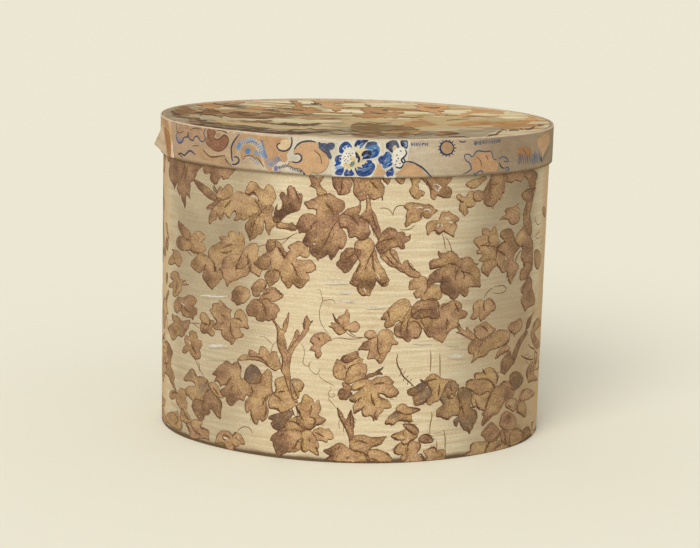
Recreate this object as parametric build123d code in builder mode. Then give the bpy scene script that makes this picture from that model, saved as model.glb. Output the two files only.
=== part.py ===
from build123d import *

import os
from math import atan2, cos, degrees, radians, sin, sqrt

# Oval pasteboard bandbox with a lift-off lid, covered in block-printed paper.
# Millimetres. +Z is up, X runs along the oval and -Y is the front. The origin is the middle of the foot.
# The boards are bent ovals of four arcs. Every layer is that oval drawn in from the lid's outside by an inset,
# so the boards, papers and linings nest with one paste line between them.

# The lid's outside
LID_LENGTH = 440.0
LID_WIDTH = 340.0
END_RADIUS = 140.0
OVERALL_HEIGHT = 352.0
RIM_DEPTH = 41.0

# Sheets
SIDE_BOARD = 2.0
BOTTOM_BOARD = 2.5
RIM_BOARD = 1.6
TOP_BOARD = 2.0
PAPER = 0.3
LINING = 0.25
PASTE = 0.15
BOARD_GAP = 0.1
SLIP = 0.75
SEAT_GAP = 0.3

# The sagged lid top
DISH_RADIUS = 5400.0
TOP_RECESS = 0.8

# Turned-in and turned-over margins of the papers
MOUTH_TURN = 16.0
TAB_WIDTH = 9.0
TAB_SNIP_COUNT = 12
TAB_SNIP_WIDTH = 1.6
TOP_PAPER_MARGIN = 2.2
BUTT_GAP = 0.3
FOOT_TRIM = 0.3

# Laps. Angles are those of the outward normal, counted from +X towards +Y, so the front is 270.
BOARD_LAP = 40.0
SIDE_BOARD_LAP_AT = 90.0
RIM_BOARD_LAP_AT = 150.0
SIDE_PAPER_END_AT = 289.3
SIDE_PAPER_LAP = 12.0
RIM_PAPER_END_AT = 185.5
RIM_PAPER_LAP = 45.0

# The corner of the rim's paper that has sprung off straight at the left end
FLAP_HEIGHT = 21.0
FLAP_ROOT_AT = 202.5

# Sewing thread, drawn into the boards until it lies a little below their faces
THREAD = 0.4
THREAD_SINK = 0.15
THREAD_WIDTH = 1.0
THREAD_GAP = 0.05
SIDE_STITCH = 30.0
RIM_STITCH = 9.0
EDGE_STITCH_COUNT = 12
EDGE_STITCH_HEIGHT = 8.0
EDGE_STITCH_REACH = 8.0

# The oval of four arcs
HALF_LENGTH = LID_LENGTH / 2
HALF_WIDTH = LID_WIDTH / 2
SIDE_RADIUS = (HALF_LENGTH**2 - 2 * HALF_LENGTH * END_RADIUS + HALF_WIDTH**2) / (2 * (HALF_WIDTH - END_RADIUS))
END_CENTRE = HALF_LENGTH - END_RADIUS
SIDE_CENTRE = SIDE_RADIUS - HALF_WIDTH
JOIN_ANGLE = degrees(atan2(SIDE_CENTRE, END_CENTRE))

# Insets of each layer's outer face from the lid's outside
RIM_BOARD_IN = PAPER + PASTE
RIM_BOARD_INNER = RIM_BOARD_IN + RIM_BOARD
RIM_LINING_IN = RIM_BOARD_INNER + PASTE
SIDE_PAPER_IN = RIM_LINING_IN + PAPER + SLIP
SIDE_BOARD_IN = SIDE_PAPER_IN + PAPER + PASTE
SIDE_BOARD_INNER = SIDE_BOARD_IN + SIDE_BOARD
SIDE_LINING_IN = SIDE_BOARD_INNER + PASTE
BOTTOM_IN = SIDE_BOARD_INNER + BOARD_GAP
TOP_IN = RIM_BOARD_INNER + BOARD_GAP

# Heights
BOTTOM_TOP = BOTTOM_BOARD
RIM_LOW = OVERALL_HEIGHT - RIM_DEPTH
RIM_BOARD_LOW = RIM_LOW + PAPER + PASTE
RIM_BOARD_TOP = OVERALL_HEIGHT - PAPER - PASTE
DISH_END_DEPTH = DISH_RADIUS - sqrt(DISH_RADIUS**2 - (HALF_LENGTH - TOP_IN) ** 2)
DISH_CENTRE_Z = RIM_BOARD_TOP - TOP_RECESS - DISH_END_DEPTH + DISH_RADIUS
UNDER_RADIUS = DISH_RADIUS + TOP_BOARD + PASTE + LINING
MOUTH_TOP = DISH_CENTRE_Z - sqrt(UNDER_RADIUS**2 - (HALF_WIDTH - SIDE_BOARD_INNER - 2 * PAPER) ** 2) - SEAT_GAP
SIDE_BOARD_TOP = MOUTH_TOP - PAPER - PASTE


def oval(inset):
    """The oval, drawn in from the lid's outside by inset."""
    side_sweep = 180 - 2 * JOIN_ANGLE
    with BuildSketch() as outline:
        with BuildLine():
            CenterArc((END_CENTRE, 0), END_RADIUS - inset, -JOIN_ANGLE, 2 * JOIN_ANGLE)
            CenterArc((0, -SIDE_CENTRE), SIDE_RADIUS - inset, JOIN_ANGLE, side_sweep)
            CenterArc((-END_CENTRE, 0), END_RADIUS - inset, 180 - JOIN_ANGLE, 2 * JOIN_ANGLE)
            CenterArc((0, SIDE_CENTRE), SIDE_RADIUS - inset, 180 + JOIN_ANGLE, side_sweep)
        make_face()
    return outline.sketch


def plate(inset, low, high):
    """A flat oval sheet between two heights."""
    with BuildPart() as sheet:
        with BuildSketch(Plane.XY.offset(low)):
            add(oval(inset))
        extrude(amount=high - low)
    return sheet.part


def ring(outer, inner, low, high):
    """An upright oval band between two insets and two heights."""
    with BuildPart() as band:
        with BuildSketch(Plane.XY.offset(low)):
            add(oval(outer))
            add(oval(inner), mode=Mode.SUBTRACT)
        extrude(amount=high - low)
    return band.part


def arc_centre(angle):
    """Centre of the arc whose outward normal points along angle, and its radius at inset 0."""
    turn = (angle + 180) % 360 - 180
    if abs(turn) <= JOIN_ANGLE:
        return END_CENTRE, 0, END_RADIUS
    if abs(turn) >= 180 - JOIN_ANGLE:
        return -END_CENTRE, 0, END_RADIUS
    if turn > 0:
        return 0, -SIDE_CENTRE, SIDE_RADIUS
    return 0, SIDE_CENTRE, SIDE_RADIUS


def wall_plane(angle, inset):
    """Upright plane across the wall at a normal angle: x points outwards from the inset, y is up."""
    cx, cy, radius = arc_centre(angle)
    out = (cos(radians(angle)), sin(radians(angle)), 0)
    origin = (cx + (radius - inset) * out[0], cy + (radius - inset) * out[1], 0)
    return Plane(origin=origin, x_dir=out, z_dir=(out[1], -out[0], 0))


def swing(length, angle, inset):
    """Degrees that a length along the wall takes up at a normal angle."""
    return degrees(length / (arc_centre(angle)[2] - inset))


def even_angles(count, inset, start=0.5):
    """Normal angles of places that are evenly spaced along the wall."""
    end_arc = radians(2 * JOIN_ANGLE) * (END_RADIUS - inset)
    side_arc = radians(180 - 2 * JOIN_ANGLE) * (SIDE_RADIUS - inset)
    step = 2 * (end_arc + side_arc) / count
    places = []
    for i in range(count):
        along = (i + start) * step
        half, along = divmod(along, end_arc + side_arc)
        if along < end_arc:
            angle = -JOIN_ANGLE + degrees(along / (END_RADIUS - inset))
        else:
            angle = JOIN_ANGLE + degrees((along - end_arc) / (SIDE_RADIUS - inset))
        places.append(angle + 180 * half)
    return places


def sector(from_angle, to_angle, outer, inner, low, high):
    """A piece of the wall between two normal angles, on one arc."""
    cx, cy, radius = arc_centre((from_angle + to_angle) / 2)
    sweep = to_angle - from_angle
    with BuildPart() as piece:
        with BuildSketch(Plane.XY.offset(low)):
            with BuildLine():
                far = CenterArc((cx, cy), radius - outer, from_angle, sweep)
                near = CenterArc((cx, cy), radius - inner, from_angle, sweep)
                Line(far @ 0, near @ 0)
                Line(far @ 1, near @ 1)
            make_face()
        extrude(amount=high - low)
    return piece.part


def dish(above, below, outer, inner=None, low=RIM_LOW):
    """Sheet that follows the sagged lid top between two radii of its dish and two insets, over a height."""
    with BuildPart() as sheet:
        with BuildSketch(Plane.XY.offset(low)):
            add(oval(outer))
            if inner is not None:
                add(oval(inner), mode=Mode.SUBTRACT)
        extrude(amount=OVERALL_HEIGHT - low)
        with Locations((0, 0, DISH_CENTRE_Z)):
            Sphere(below, rotation=(90, 0, 0), mode=Mode.INTERSECT)
            Sphere(above, rotation=(90, 0, 0), mode=Mode.SUBTRACT)
    return sheet.part


def half_lap(centre_angle, outer, inner, low, high):
    """The cut through a band of board at a lap where each end is split to half its thickness."""
    middle = (outer + inner) / 2
    half = swing(BOARD_LAP, centre_angle, middle) / 2
    slot = swing(BOARD_GAP, centre_angle, middle)
    start, end = centre_angle - half, centre_angle + half
    low, high = low - 1, high + 1
    with BuildPart() as cut:
        add(sector(start, end, middle - PASTE / 2, middle + PASTE / 2, low, high))
        add(sector(start, start + slot, outer - 1, middle + PASTE / 2, low, high))
        add(sector(end - slot, end, middle - PASTE / 2, inner + 1, low, high))
    return cut.part


def running_stitch(board, low, high, pitch, sink, swell):
    """A thread that runs up a lap, in and out through a board's thickness. x is 0 at the board's outside."""
    count = int((high - low - 2 * pitch) // pitch) // 2 * 2 + 1
    foot = (low + high - count * pitch) / 2
    middles = [foot + (i + 0.5) * pitch for i in range(count)]
    depth = THREAD_SINK + THREAD + swell
    with BuildSketch() as path:
        with Locations([(-(sink + depth) / 2, y) for y in middles[::2]]):
            Rectangle(depth - sink, pitch + THREAD + 2 * swell)
        with Locations([((sink + depth) / 2 - board, y) for y in middles[1::2]]):
            Rectangle(depth - sink, pitch + THREAD + 2 * swell)
        with Locations([(-board / 2, y - pitch / 2) for y in middles[1:]]):
            Rectangle(board - 2 * sink, THREAD + 2 * swell)
    return path.sketch


def lap_thread(centre_angle, outer, board, low, high, pitch, sink=THREAD_SINK, swell=0.0):
    """The row of running stitch up the middle of a lap, as a solid."""
    with BuildPart() as row:
        with BuildSketch(wall_plane(centre_angle, outer)):
            add(running_stitch(board, low, high, pitch, sink, swell))
        extrude(amount=THREAD_WIDTH / 2 + swell, both=True)
    return row.part


def edge_threads(corners_at, inset):
    """The stitches that sew a disc of board into a bent board, as a list of closed loops of thread."""
    loops = []
    near = THREAD_SINK
    far = THREAD_SINK + THREAD
    for angle in even_angles(EDGE_STITCH_COUNT, inset):
        plane = wall_plane(angle, inset)
        corners = corners_at(plane)
        with BuildPart() as loop:
            with BuildSketch(plane):
                with BuildLine():
                    Polyline([(x - near * ox, y - near * oy) for x, y, ox, oy in corners], close=True)
                make_face()
                with BuildLine():
                    Polyline([(x - far * ox, y - far * oy) for x, y, ox, oy in corners], close=True)
                make_face(mode=Mode.SUBTRACT)
            extrude(amount=THREAD_WIDTH / 2, both=True)
        loops.append(loop.part)
    return loops


def edge_slits(corners_at, inset):
    """The slits that those stitches are drawn into, through both boards."""
    slits = []
    for angle in even_angles(EDGE_STITCH_COUNT, inset):
        plane = wall_plane(angle, inset)
        with BuildPart() as slit:
            with BuildSketch(plane):
                with BuildLine():
                    outline = [(x + THREAD_GAP * ox, y + THREAD_GAP * oy) for x, y, ox, oy in corners_at(plane)]
                    Polyline(outline, close=True)
                make_face()
            extrude(amount=THREAD_WIDTH / 2 + THREAD_GAP, both=True)
        slits.append(slit.part)
    return slits


def foot_corners(plane):
    """Where a stitch turns round the joint of the side and the bottom. x is 0 at the side's outside."""
    reach = -SIDE_BOARD - BOARD_GAP - EDGE_STITCH_REACH
    top = EDGE_STITCH_HEIGHT
    return (
        (0, 0, 1, -1),
        (0, top, 1, 1),
        (-SIDE_BOARD, top, -1, 1),
        (-SIDE_BOARD, BOTTOM_TOP, -1, 1),
        (reach, BOTTOM_TOP, -1, 1),
        (reach, 0, -1, -1),
    )


def top_corners(plane):
    """Where a stitch turns round the joint of the rim and the lid top. x is 0 at the rim's outside."""
    under = DISH_RADIUS + TOP_BOARD
    reach = -RIM_BOARD - BOARD_GAP - EDGE_STITCH_REACH

    def height(x, radius):
        spot = plane.from_local_coords(Vector(x, 0, 0))
        return DISH_CENTRE_Z - sqrt(radius**2 - spot.X**2 - spot.Y**2)

    low = height(-RIM_BOARD, under) - EDGE_STITCH_HEIGHT
    return (
        (0, RIM_BOARD_TOP, 1, 1),
        (0, low, 1, -1),
        (-RIM_BOARD, low, -1, -1),
        (-RIM_BOARD, height(-RIM_BOARD, under), -1, -1),
        (reach, height(reach, under), -1, -1),
        (reach, height(reach, DISH_RADIUS), -1, 1),
        (-RIM_BOARD, height(-RIM_BOARD, DISH_RADIUS), -1, 1),
        (-RIM_BOARD, RIM_BOARD_TOP, -1, 1),
    )


def flap_prism(depth):
    """The sprung corner as a straight triangle with a depth inwards. Its root lies on the lap, its tip is free."""
    skin = -PAPER - PASTE
    root = wall_plane(FLAP_ROOT_AT, skin)
    end = wall_plane(RIM_PAPER_END_AT, skin)
    length = radians(FLAP_ROOT_AT - RIM_PAPER_END_AT) * (END_RADIUS - skin)
    lower = root.origin + Vector(0, 0, RIM_LOW)
    tip = lower + root.z_dir * length
    upper = end.origin + Vector(0, 0, RIM_LOW + FLAP_HEIGHT)
    plane = Plane(origin=lower, x_dir=tip - lower, z_dir=(tip - lower).cross(upper - lower))
    corners = [plane.to_local_coords(corner) for corner in (lower, tip, upper)]
    with BuildPart() as prism:
        with BuildSketch(plane):
            with BuildLine():
                Polyline([(corner.X, corner.Y) for corner in corners], close=True)
            make_face()
        extrude(amount=depth)
    return prism.part


# Box: the bent side, split and sewn at its lap, and the bottom that is sewn into it
side_lap = (SIDE_BOARD_LAP_AT, SIDE_BOARD_IN)
rim_lap = (RIM_BOARD_LAP_AT, RIM_BOARD_IN)
foot_slits = edge_slits(foot_corners, SIDE_BOARD_IN)
top_slits = edge_slits(top_corners, RIM_BOARD_IN)

with BuildPart() as box_side_board:
    add(ring(SIDE_BOARD_IN, SIDE_BOARD_INNER, 0, SIDE_BOARD_TOP))
    add(half_lap(*side_lap, SIDE_BOARD_INNER, 0, SIDE_BOARD_TOP), mode=Mode.SUBTRACT)
    add(
        lap_thread(*side_lap, SIDE_BOARD, 0, SIDE_BOARD_TOP, SIDE_STITCH, 0, THREAD_GAP),
        mode=Mode.SUBTRACT,
    )
    add(foot_slits, mode=Mode.SUBTRACT)

with BuildPart() as box_bottom_board:
    add(plate(BOTTOM_IN, 0, BOTTOM_TOP))
    add(foot_slits, mode=Mode.SUBTRACT)

with BuildPart() as box_lap_thread:
    add(lap_thread(*side_lap, SIDE_BOARD, 0, SIDE_BOARD_TOP, SIDE_STITCH))

with BuildPart() as box_bottom_thread:
    add(edge_threads(foot_corners, SIDE_BOARD_IN))

# Box: the outer paper, lapped at the front and turned in over the mouth
over = SIDE_PAPER_IN - PAPER - PASTE
lap_turn = swing(SIDE_PAPER_LAP, SIDE_PAPER_END_AT, SIDE_PAPER_IN)
slit_turn = swing(BOARD_GAP, SIDE_PAPER_END_AT, SIDE_PAPER_IN)
step_turn = swing(2 * PAPER, SIDE_PAPER_END_AT, SIDE_PAPER_IN)
slit_at = SIDE_PAPER_END_AT + lap_turn
step_at = slit_at + slit_turn

with BuildPart() as box_side_paper:
    add(ring(SIDE_PAPER_IN, SIDE_PAPER_IN + PAPER, FOOT_TRIM, MOUTH_TOP))
    add(sector(slit_at, step_at, over, SIDE_PAPER_IN + PAPER, 0, MOUTH_TOP - PAPER), mode=Mode.SUBTRACT)
    add(sector(SIDE_PAPER_END_AT, step_at + step_turn, over, over + PAPER, FOOT_TRIM, MOUTH_TOP - PAPER))
    add(sector(step_at, step_at + step_turn, over, SIDE_PAPER_IN + PAPER, FOOT_TRIM, MOUTH_TOP - PAPER))
    add(ring(SIDE_PAPER_IN, SIDE_LINING_IN + PAPER, MOUTH_TOP - PAPER, MOUTH_TOP))
    add(ring(SIDE_LINING_IN, SIDE_LINING_IN + PAPER, MOUTH_TOP - MOUTH_TURN, MOUTH_TOP))

# Box: linings
with BuildPart() as box_bottom_lining:
    add(plate(BOTTOM_IN, BOTTOM_TOP + PASTE, BOTTOM_TOP + PASTE + LINING))

with BuildPart() as box_side_lining:
    lining_low = BOTTOM_TOP + 2 * PASTE + LINING
    add(ring(SIDE_LINING_IN, SIDE_LINING_IN + LINING, lining_low, MOUTH_TOP - MOUTH_TURN - BUTT_GAP))

# Lid: the bent rim and the sagged top that is sewn into it
with BuildPart() as lid_rim_board:
    add(ring(RIM_BOARD_IN, RIM_BOARD_INNER, RIM_BOARD_LOW, RIM_BOARD_TOP))
    add(half_lap(*rim_lap, RIM_BOARD_INNER, RIM_BOARD_LOW, RIM_BOARD_TOP), mode=Mode.SUBTRACT)
    add(
        lap_thread(*rim_lap, RIM_BOARD, RIM_BOARD_LOW, RIM_BOARD_TOP, RIM_STITCH, 0, THREAD_GAP),
        mode=Mode.SUBTRACT,
    )
    add(top_slits, mode=Mode.SUBTRACT)

with BuildPart() as lid_top_board:
    add(dish(DISH_RADIUS, DISH_RADIUS + TOP_BOARD, TOP_IN))
    add(top_slits, mode=Mode.SUBTRACT)

with BuildPart() as lid_lap_thread:
    add(lap_thread(*rim_lap, RIM_BOARD, RIM_BOARD_LOW, RIM_BOARD_TOP, RIM_STITCH))

with BuildPart() as lid_top_thread:
    add(edge_threads(top_corners, RIM_BOARD_IN))

# Lid: the border paper. It is turned in under the rim, and over its top edge in snipped tabs.
turn_in = RIM_LINING_IN
tab_top = DISH_RADIUS - PASTE - PAPER
rim_over = -PAPER - PASTE
rim_slit = swing(BOARD_GAP, RIM_PAPER_END_AT, 0)
rim_step = swing(2 * PAPER, RIM_PAPER_END_AT, 0)
rim_slit_at = RIM_PAPER_END_AT + swing(RIM_PAPER_LAP, RIM_PAPER_END_AT, 0)
rim_step_at = rim_slit_at + rim_slit
rim_lap_high = OVERALL_HEIGHT - PAPER

with BuildPart() as loose_corner:
    add(flap_prism(PAPER))
    add(plate(-PASTE, RIM_LOW - 1, OVERALL_HEIGHT), mode=Mode.SUBTRACT)

with BuildPart() as rim_paper_lap:
    add(sector(RIM_PAPER_END_AT, rim_step_at + rim_step, rim_over, -PASTE, RIM_LOW, rim_lap_high))
    add(sector(rim_step_at, rim_step_at + rim_step, rim_over, PAPER, RIM_LOW, rim_lap_high))
    add(flap_prism(FLAP_HEIGHT), mode=Mode.SUBTRACT)

with BuildPart() as lid_rim_paper:
    add(ring(0, PAPER, RIM_LOW, OVERALL_HEIGHT))
    add(sector(rim_slit_at, rim_step_at, rim_over, PAPER, RIM_LOW + PAPER, rim_lap_high), mode=Mode.SUBTRACT)
    add(rim_paper_lap.part)
    add(ring(0, turn_in + PAPER, RIM_LOW, RIM_LOW + PAPER))
    add(ring(0, turn_in + PAPER, OVERALL_HEIGHT - PAPER, OVERALL_HEIGHT))
    add(dish(DISH_RADIUS - PASTE - RIM_DEPTH, DISH_RADIUS - PASTE, turn_in, turn_in + PAPER))
    add(dish(tab_top, DISH_RADIUS - PASTE, turn_in, turn_in + TAB_WIDTH))
    for snip_angle in even_angles(TAB_SNIP_COUNT, 0, 0.35):
        with BuildSketch(wall_plane(snip_angle, turn_in + PAPER)):
            with Locations((-TAB_WIDTH / 2, OVERALL_HEIGHT)):
                Rectangle(TAB_WIDTH, RIM_DEPTH)
        extrude(amount=TAB_SNIP_WIDTH / 2, both=True, mode=Mode.SUBTRACT)
    add(loose_corner.part)

# Lid: the top paper, which lies over the tabs
over_tabs = tab_top - PASTE

with BuildPart() as lid_top_paper:
    add(dish(over_tabs - PAPER, over_tabs, turn_in + PAPER + TOP_PAPER_MARGIN))

# Lid: linings
under_board = DISH_RADIUS + TOP_BOARD + PASTE

with BuildPart() as lid_rim_lining:
    lining_low = RIM_LOW + PAPER + PASTE
    add(dish(under_board, under_board + RIM_DEPTH, RIM_LINING_IN, RIM_LINING_IN + LINING, lining_low))

with BuildPart() as lid_top_lining:
    add(dish(under_board, under_board + LINING, RIM_LINING_IN + LINING + PASTE))

PARTS = {
    "box_side_board": box_side_board,
    "box_bottom_board": box_bottom_board,
    "box_lap_thread": box_lap_thread,
    "box_bottom_thread": box_bottom_thread,
    "box_side_paper": box_side_paper,
    "box_side_lining": box_side_lining,
    "box_bottom_lining": box_bottom_lining,
    "lid_rim_board": lid_rim_board,
    "lid_top_board": lid_top_board,
    "lid_lap_thread": lid_lap_thread,
    "lid_top_thread": lid_top_thread,
    "lid_rim_paper": lid_rim_paper,
    "lid_top_paper": lid_top_paper,
    "lid_rim_lining": lid_rim_lining,
    "lid_top_lining": lid_top_lining,
}

os.makedirs("parts", exist_ok=True)
for name, built in PARTS.items():
    built.part.label = name
    export_step(built.part, f"parts/{name}.step")
    print(name, "solids", len(built.part.solids()), "volume", round(built.part.volume))
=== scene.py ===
# %% [markdown]
# # An oval bandbox
#
# A bandbox is a hat box of bent pasteboard, covered in printed wallpaper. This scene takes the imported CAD
# model of one as its frame, and dresses it: fine paper in place of the plain sheets, the print on the
# papers, wear, light and a camera. The papers are what anybody sees, so nearly all of the work goes into
# them.

import random
from math import atan2, cos, exp, hypot, pi, radians, sin, sqrt

import bmesh
import bpy
from mathutils import Euler, Matrix, Vector, kdtree, noise


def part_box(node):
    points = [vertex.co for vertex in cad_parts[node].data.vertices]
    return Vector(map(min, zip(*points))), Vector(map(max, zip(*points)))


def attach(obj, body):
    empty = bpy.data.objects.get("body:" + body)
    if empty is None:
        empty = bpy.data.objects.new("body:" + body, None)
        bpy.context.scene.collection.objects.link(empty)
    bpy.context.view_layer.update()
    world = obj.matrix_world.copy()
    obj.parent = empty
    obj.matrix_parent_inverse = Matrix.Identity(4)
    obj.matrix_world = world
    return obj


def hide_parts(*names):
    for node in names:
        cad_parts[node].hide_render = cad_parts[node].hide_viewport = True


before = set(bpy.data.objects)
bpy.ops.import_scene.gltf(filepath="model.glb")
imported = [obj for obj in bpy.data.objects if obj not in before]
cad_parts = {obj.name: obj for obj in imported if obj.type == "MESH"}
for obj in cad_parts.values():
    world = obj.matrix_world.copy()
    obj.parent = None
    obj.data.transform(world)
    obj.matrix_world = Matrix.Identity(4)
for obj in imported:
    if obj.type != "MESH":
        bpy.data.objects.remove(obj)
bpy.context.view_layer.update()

# %% [markdown]
# The camera looks at the front, a little from above, and leans about a degree and a half. Its numbers
# come from fitting the ovals of the lid and of the foot to their outlines in the picture, which is 700 by
# 548 pixels.

# %% The camera
IMAGE_WIDTH = 700
IMAGE_HEIGHT = 548
SENSOR = 36.0
FOCAL_PIXELS = 1879.8
CAMERA_DISTANCE = 2.1441
CAMERA_PITCH = radians(12.067)
CAMERA_ROLL = radians(1.578)
AXIS_PIXEL = (353.15, 270.57)
AIM_HEIGHT = 0.176

camera = bpy.data.objects.new("camera", bpy.data.cameras.new("camera"))
bpy.context.scene.collection.objects.link(camera)
bpy.context.scene.camera = camera
CAMERA_BACK = CAMERA_DISTANCE * cos(CAMERA_PITCH)
CAMERA_UP = CAMERA_DISTANCE * sin(CAMERA_PITCH)
CAMERA_AT = Vector((0, -CAMERA_BACK, AIM_HEIGHT + CAMERA_UP))
CAMERA_TURN = Euler((pi / 2 - CAMERA_PITCH, 0, 0)).to_matrix() @ Euler((0, 0, CAMERA_ROLL)).to_matrix()
camera.location = CAMERA_AT
camera.rotation_euler = CAMERA_TURN.to_euler()
camera.data.lens = FOCAL_PIXELS * SENSOR / IMAGE_WIDTH
camera.data.shift_x = (IMAGE_WIDTH / 2 - AXIS_PIXEL[0]) / IMAGE_WIDTH
camera.data.shift_y = (AXIS_PIXEL[1] - IMAGE_HEIGHT / 2) / IMAGE_WIDTH


def sight(px, py):
    """The direction in which the camera sees a pixel."""
    return CAMERA_TURN @ Vector((px - AXIS_PIXEL[0], AXIS_PIXEL[1] - py, -FOCAL_PIXELS))


print("camera at", [round(x, 3) for x in CAMERA_AT], "lens", round(camera.data.lens, 1))

# %% [markdown]
# The stage is a pale floor as plain as the sheet behind the box. A wide soft sun comes from the front left,
# and the sky fills the rest, so that a colour renders about as it is written.

# %% The stage and the light
FLOOR_RADIUS = 14.0
FLOOR_SIDES = 96
SHEET_COLOUR = (0.800, 0.776, 0.652, 1)
SKY_COLOUR = (1.0, 0.985, 0.95, 1)
SKY_STRENGTH = 0.66
SUN_COLOUR = (1.0, 0.985, 0.955)
SUN_STRENGTH = 1.9
SUN_SIZE = radians(40)
SUN_FROM = Euler((radians(50), 0, radians(-22)))


def colour_of(red, green, blue):
    """A colour as a paint chart gives it, from 0 to 255, turned by the sRGB curve into a shader's values."""
    shares = [value / 255 for value in (red, green, blue)]
    lights = [share / 12.92 if share <= 0.04045 else ((share + 0.055) / 1.055) ** 2.4 for share in shares]
    return (*lights, 1)


def new_material(name):
    """A material, with its node tree and its Principled shader."""
    material = bpy.data.materials.new(name)
    material.use_nodes = True
    return material, material.node_tree, material.node_tree.nodes["Principled BSDF"]


scene = bpy.context.scene
scene.view_settings.view_transform = "Standard"
world = bpy.data.worlds.new("sky")
world.use_nodes = True
scene.world = world
tree = world.node_tree

# The camera, and rays that a gloss or glass sends on, see the sheet's colour. All other rays see the sky's
sky = tree.nodes["Background"]
sky.inputs["Color"].default_value = SKY_COLOUR
sky.inputs["Strength"].default_value = SKY_STRENGTH
seen = tree.nodes.new("ShaderNodeBackground")
seen.inputs["Color"].default_value = SHEET_COLOUR
rays = tree.nodes.new("ShaderNodeLightPath")
either = tree.nodes.new("ShaderNodeMath")
either.operation = "MAXIMUM"
mirror_or_glass = tree.nodes.new("ShaderNodeMath")
mirror_or_glass.operation = "MAXIMUM"
swap = tree.nodes.new("ShaderNodeMixShader")
tree.links.new(rays.outputs["Is Glossy Ray"], mirror_or_glass.inputs[0])
tree.links.new(rays.outputs["Is Transmission Ray"], mirror_or_glass.inputs[1])
tree.links.new(rays.outputs["Is Camera Ray"], either.inputs[0])
tree.links.new(mirror_or_glass.outputs[0], either.inputs[1])
tree.links.new(either.outputs[0], swap.inputs["Fac"])
tree.links.new(sky.outputs[0], swap.inputs[1])
tree.links.new(seen.outputs[0], swap.inputs[2])
tree.links.new(swap.outputs[0], tree.nodes["World Output"].inputs["Surface"])

sun = bpy.data.objects.new("sun", bpy.data.lights.new("sun", "SUN"))
sun.data.energy = SUN_STRENGTH
sun.data.angle = SUN_SIZE
sun.data.color = SUN_COLOUR
sun.rotation_euler = SUN_FROM
scene.collection.objects.link(sun)

floor_shape = bmesh.new()
bmesh.ops.create_circle(floor_shape, cap_ends=True, segments=FLOOR_SIDES, radius=FLOOR_RADIUS)
floor_mesh = bpy.data.meshes.new("floor")
floor_shape.to_mesh(floor_mesh)
floor_shape.free()
floor = bpy.data.objects.new("floor", floor_mesh)
scene.collection.objects.link(floor)
floor_paint, _, floor_shader = new_material("floor_paint")
floor_shader.inputs["Base Color"].default_value = SHEET_COLOUR
floor_shader.inputs["Roughness"].default_value = 1.0
floor_shader.inputs["Specular IOR Level"].default_value = 0.0
floor_mesh.materials.append(floor_paint)

# %% [markdown]
# The box is a bent board, so its plan isn't an ellipse but an oval of four arcs: two wide ones along the
# sides and two tight ones at the ends. Every sheet follows the same oval, drawn in by its own inset. A
# place on the wall is told by how far along the oval it lies from the middle of the front, and by its
# height. The side arcs' radius is the one with which they run into the end arcs without a corner.

# %% The oval, and places on the wall
MM = 0.001
HALF_LENGTH = 0.220
HALF_WIDTH = 0.170
END_RADIUS = 0.140
LENGTH_PART = HALF_LENGTH**2 - 2 * HALF_LENGTH * END_RADIUS
SIDE_RADIUS = (LENGTH_PART + HALF_WIDTH**2) / (2 * (HALF_WIDTH - END_RADIUS))
END_CENTRE = HALF_LENGTH - END_RADIUS
SIDE_CENTRE = SIDE_RADIUS - HALF_WIDTH
JOIN = atan2(SIDE_CENTRE, END_CENTRE)
SIDE_ARC = (pi - 2 * JOIN) * SIDE_RADIUS
END_ARC = 2 * JOIN * END_RADIUS
HALF_GIRTH = SIDE_ARC + END_ARC
GIRTH = 2 * HALF_GIRTH
HAIR = 1e-9

# Each arc: where its middle lies along the oval, its centre, its radius, the way it faces and its half sweep
ARCS = (
    (0, (0, SIDE_CENTRE), SIDE_RADIUS, -pi / 2, pi / 2 - JOIN),
    (HALF_GIRTH / 2, (END_CENTRE, 0), END_RADIUS, 0, JOIN),
    (HALF_GIRTH, (0, -SIDE_CENTRE), SIDE_RADIUS, pi / 2, pi / 2 - JOIN),
    (-HALF_GIRTH / 2, (-END_CENTRE, 0), END_RADIUS, pi, JOIN),
)


def around(turn, whole):
    """A turn or a distance brought to within half a round of nought."""
    return (turn + whole / 2) % whole - whole / 2


def wall(along, inset, height):
    """The point of the wall at a distance along the oval, an inset and a height."""
    for middle, (cx, cy), radius, facing, sweep in ARCS:
        turn = around(along - middle, GIRTH) / radius
        if abs(turn) <= sweep + HAIR:
            break
    angle = facing + turn
    return Vector((cx + (radius - inset) * cos(angle), cy + (radius - inset) * sin(angle), height))


def outward(along):
    """The way straight out of the wall."""
    return (wall(along, -1, 0) - wall(along, 0, 0)).normalized()


def wall_at(px, py, inset):
    """Where the wall is that the camera sees at a pixel: along the oval, and its height."""
    way = sight(px, py)
    best = None
    for middle, (cx, cy), radius, facing, sweep in ARCS:
        ox, oy = CAMERA_AT.x - cx, CAMERA_AT.y - cy
        a = way.x**2 + way.y**2
        b = ox * way.x + oy * way.y
        c = ox**2 + oy**2 - (radius - inset) ** 2
        reach = (-b - sqrt(max(b * b - a * c, 0))) / a
        turn = around(atan2(oy + reach * way.y, ox + reach * way.x) - facing, 2 * pi)
        miss = max(abs(turn) - sweep, 0) + max(a * c - b * b, 0)
        if best is None or miss < best[0]:
            best = (miss, middle + turn * radius, CAMERA_AT.z + reach * way.z)
    return best[1], best[2]


print("girth", round(GIRTH, 4))

# %% [markdown]
# The lid's top has sagged into a shallow dish, which is part of a very large ball.

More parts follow.
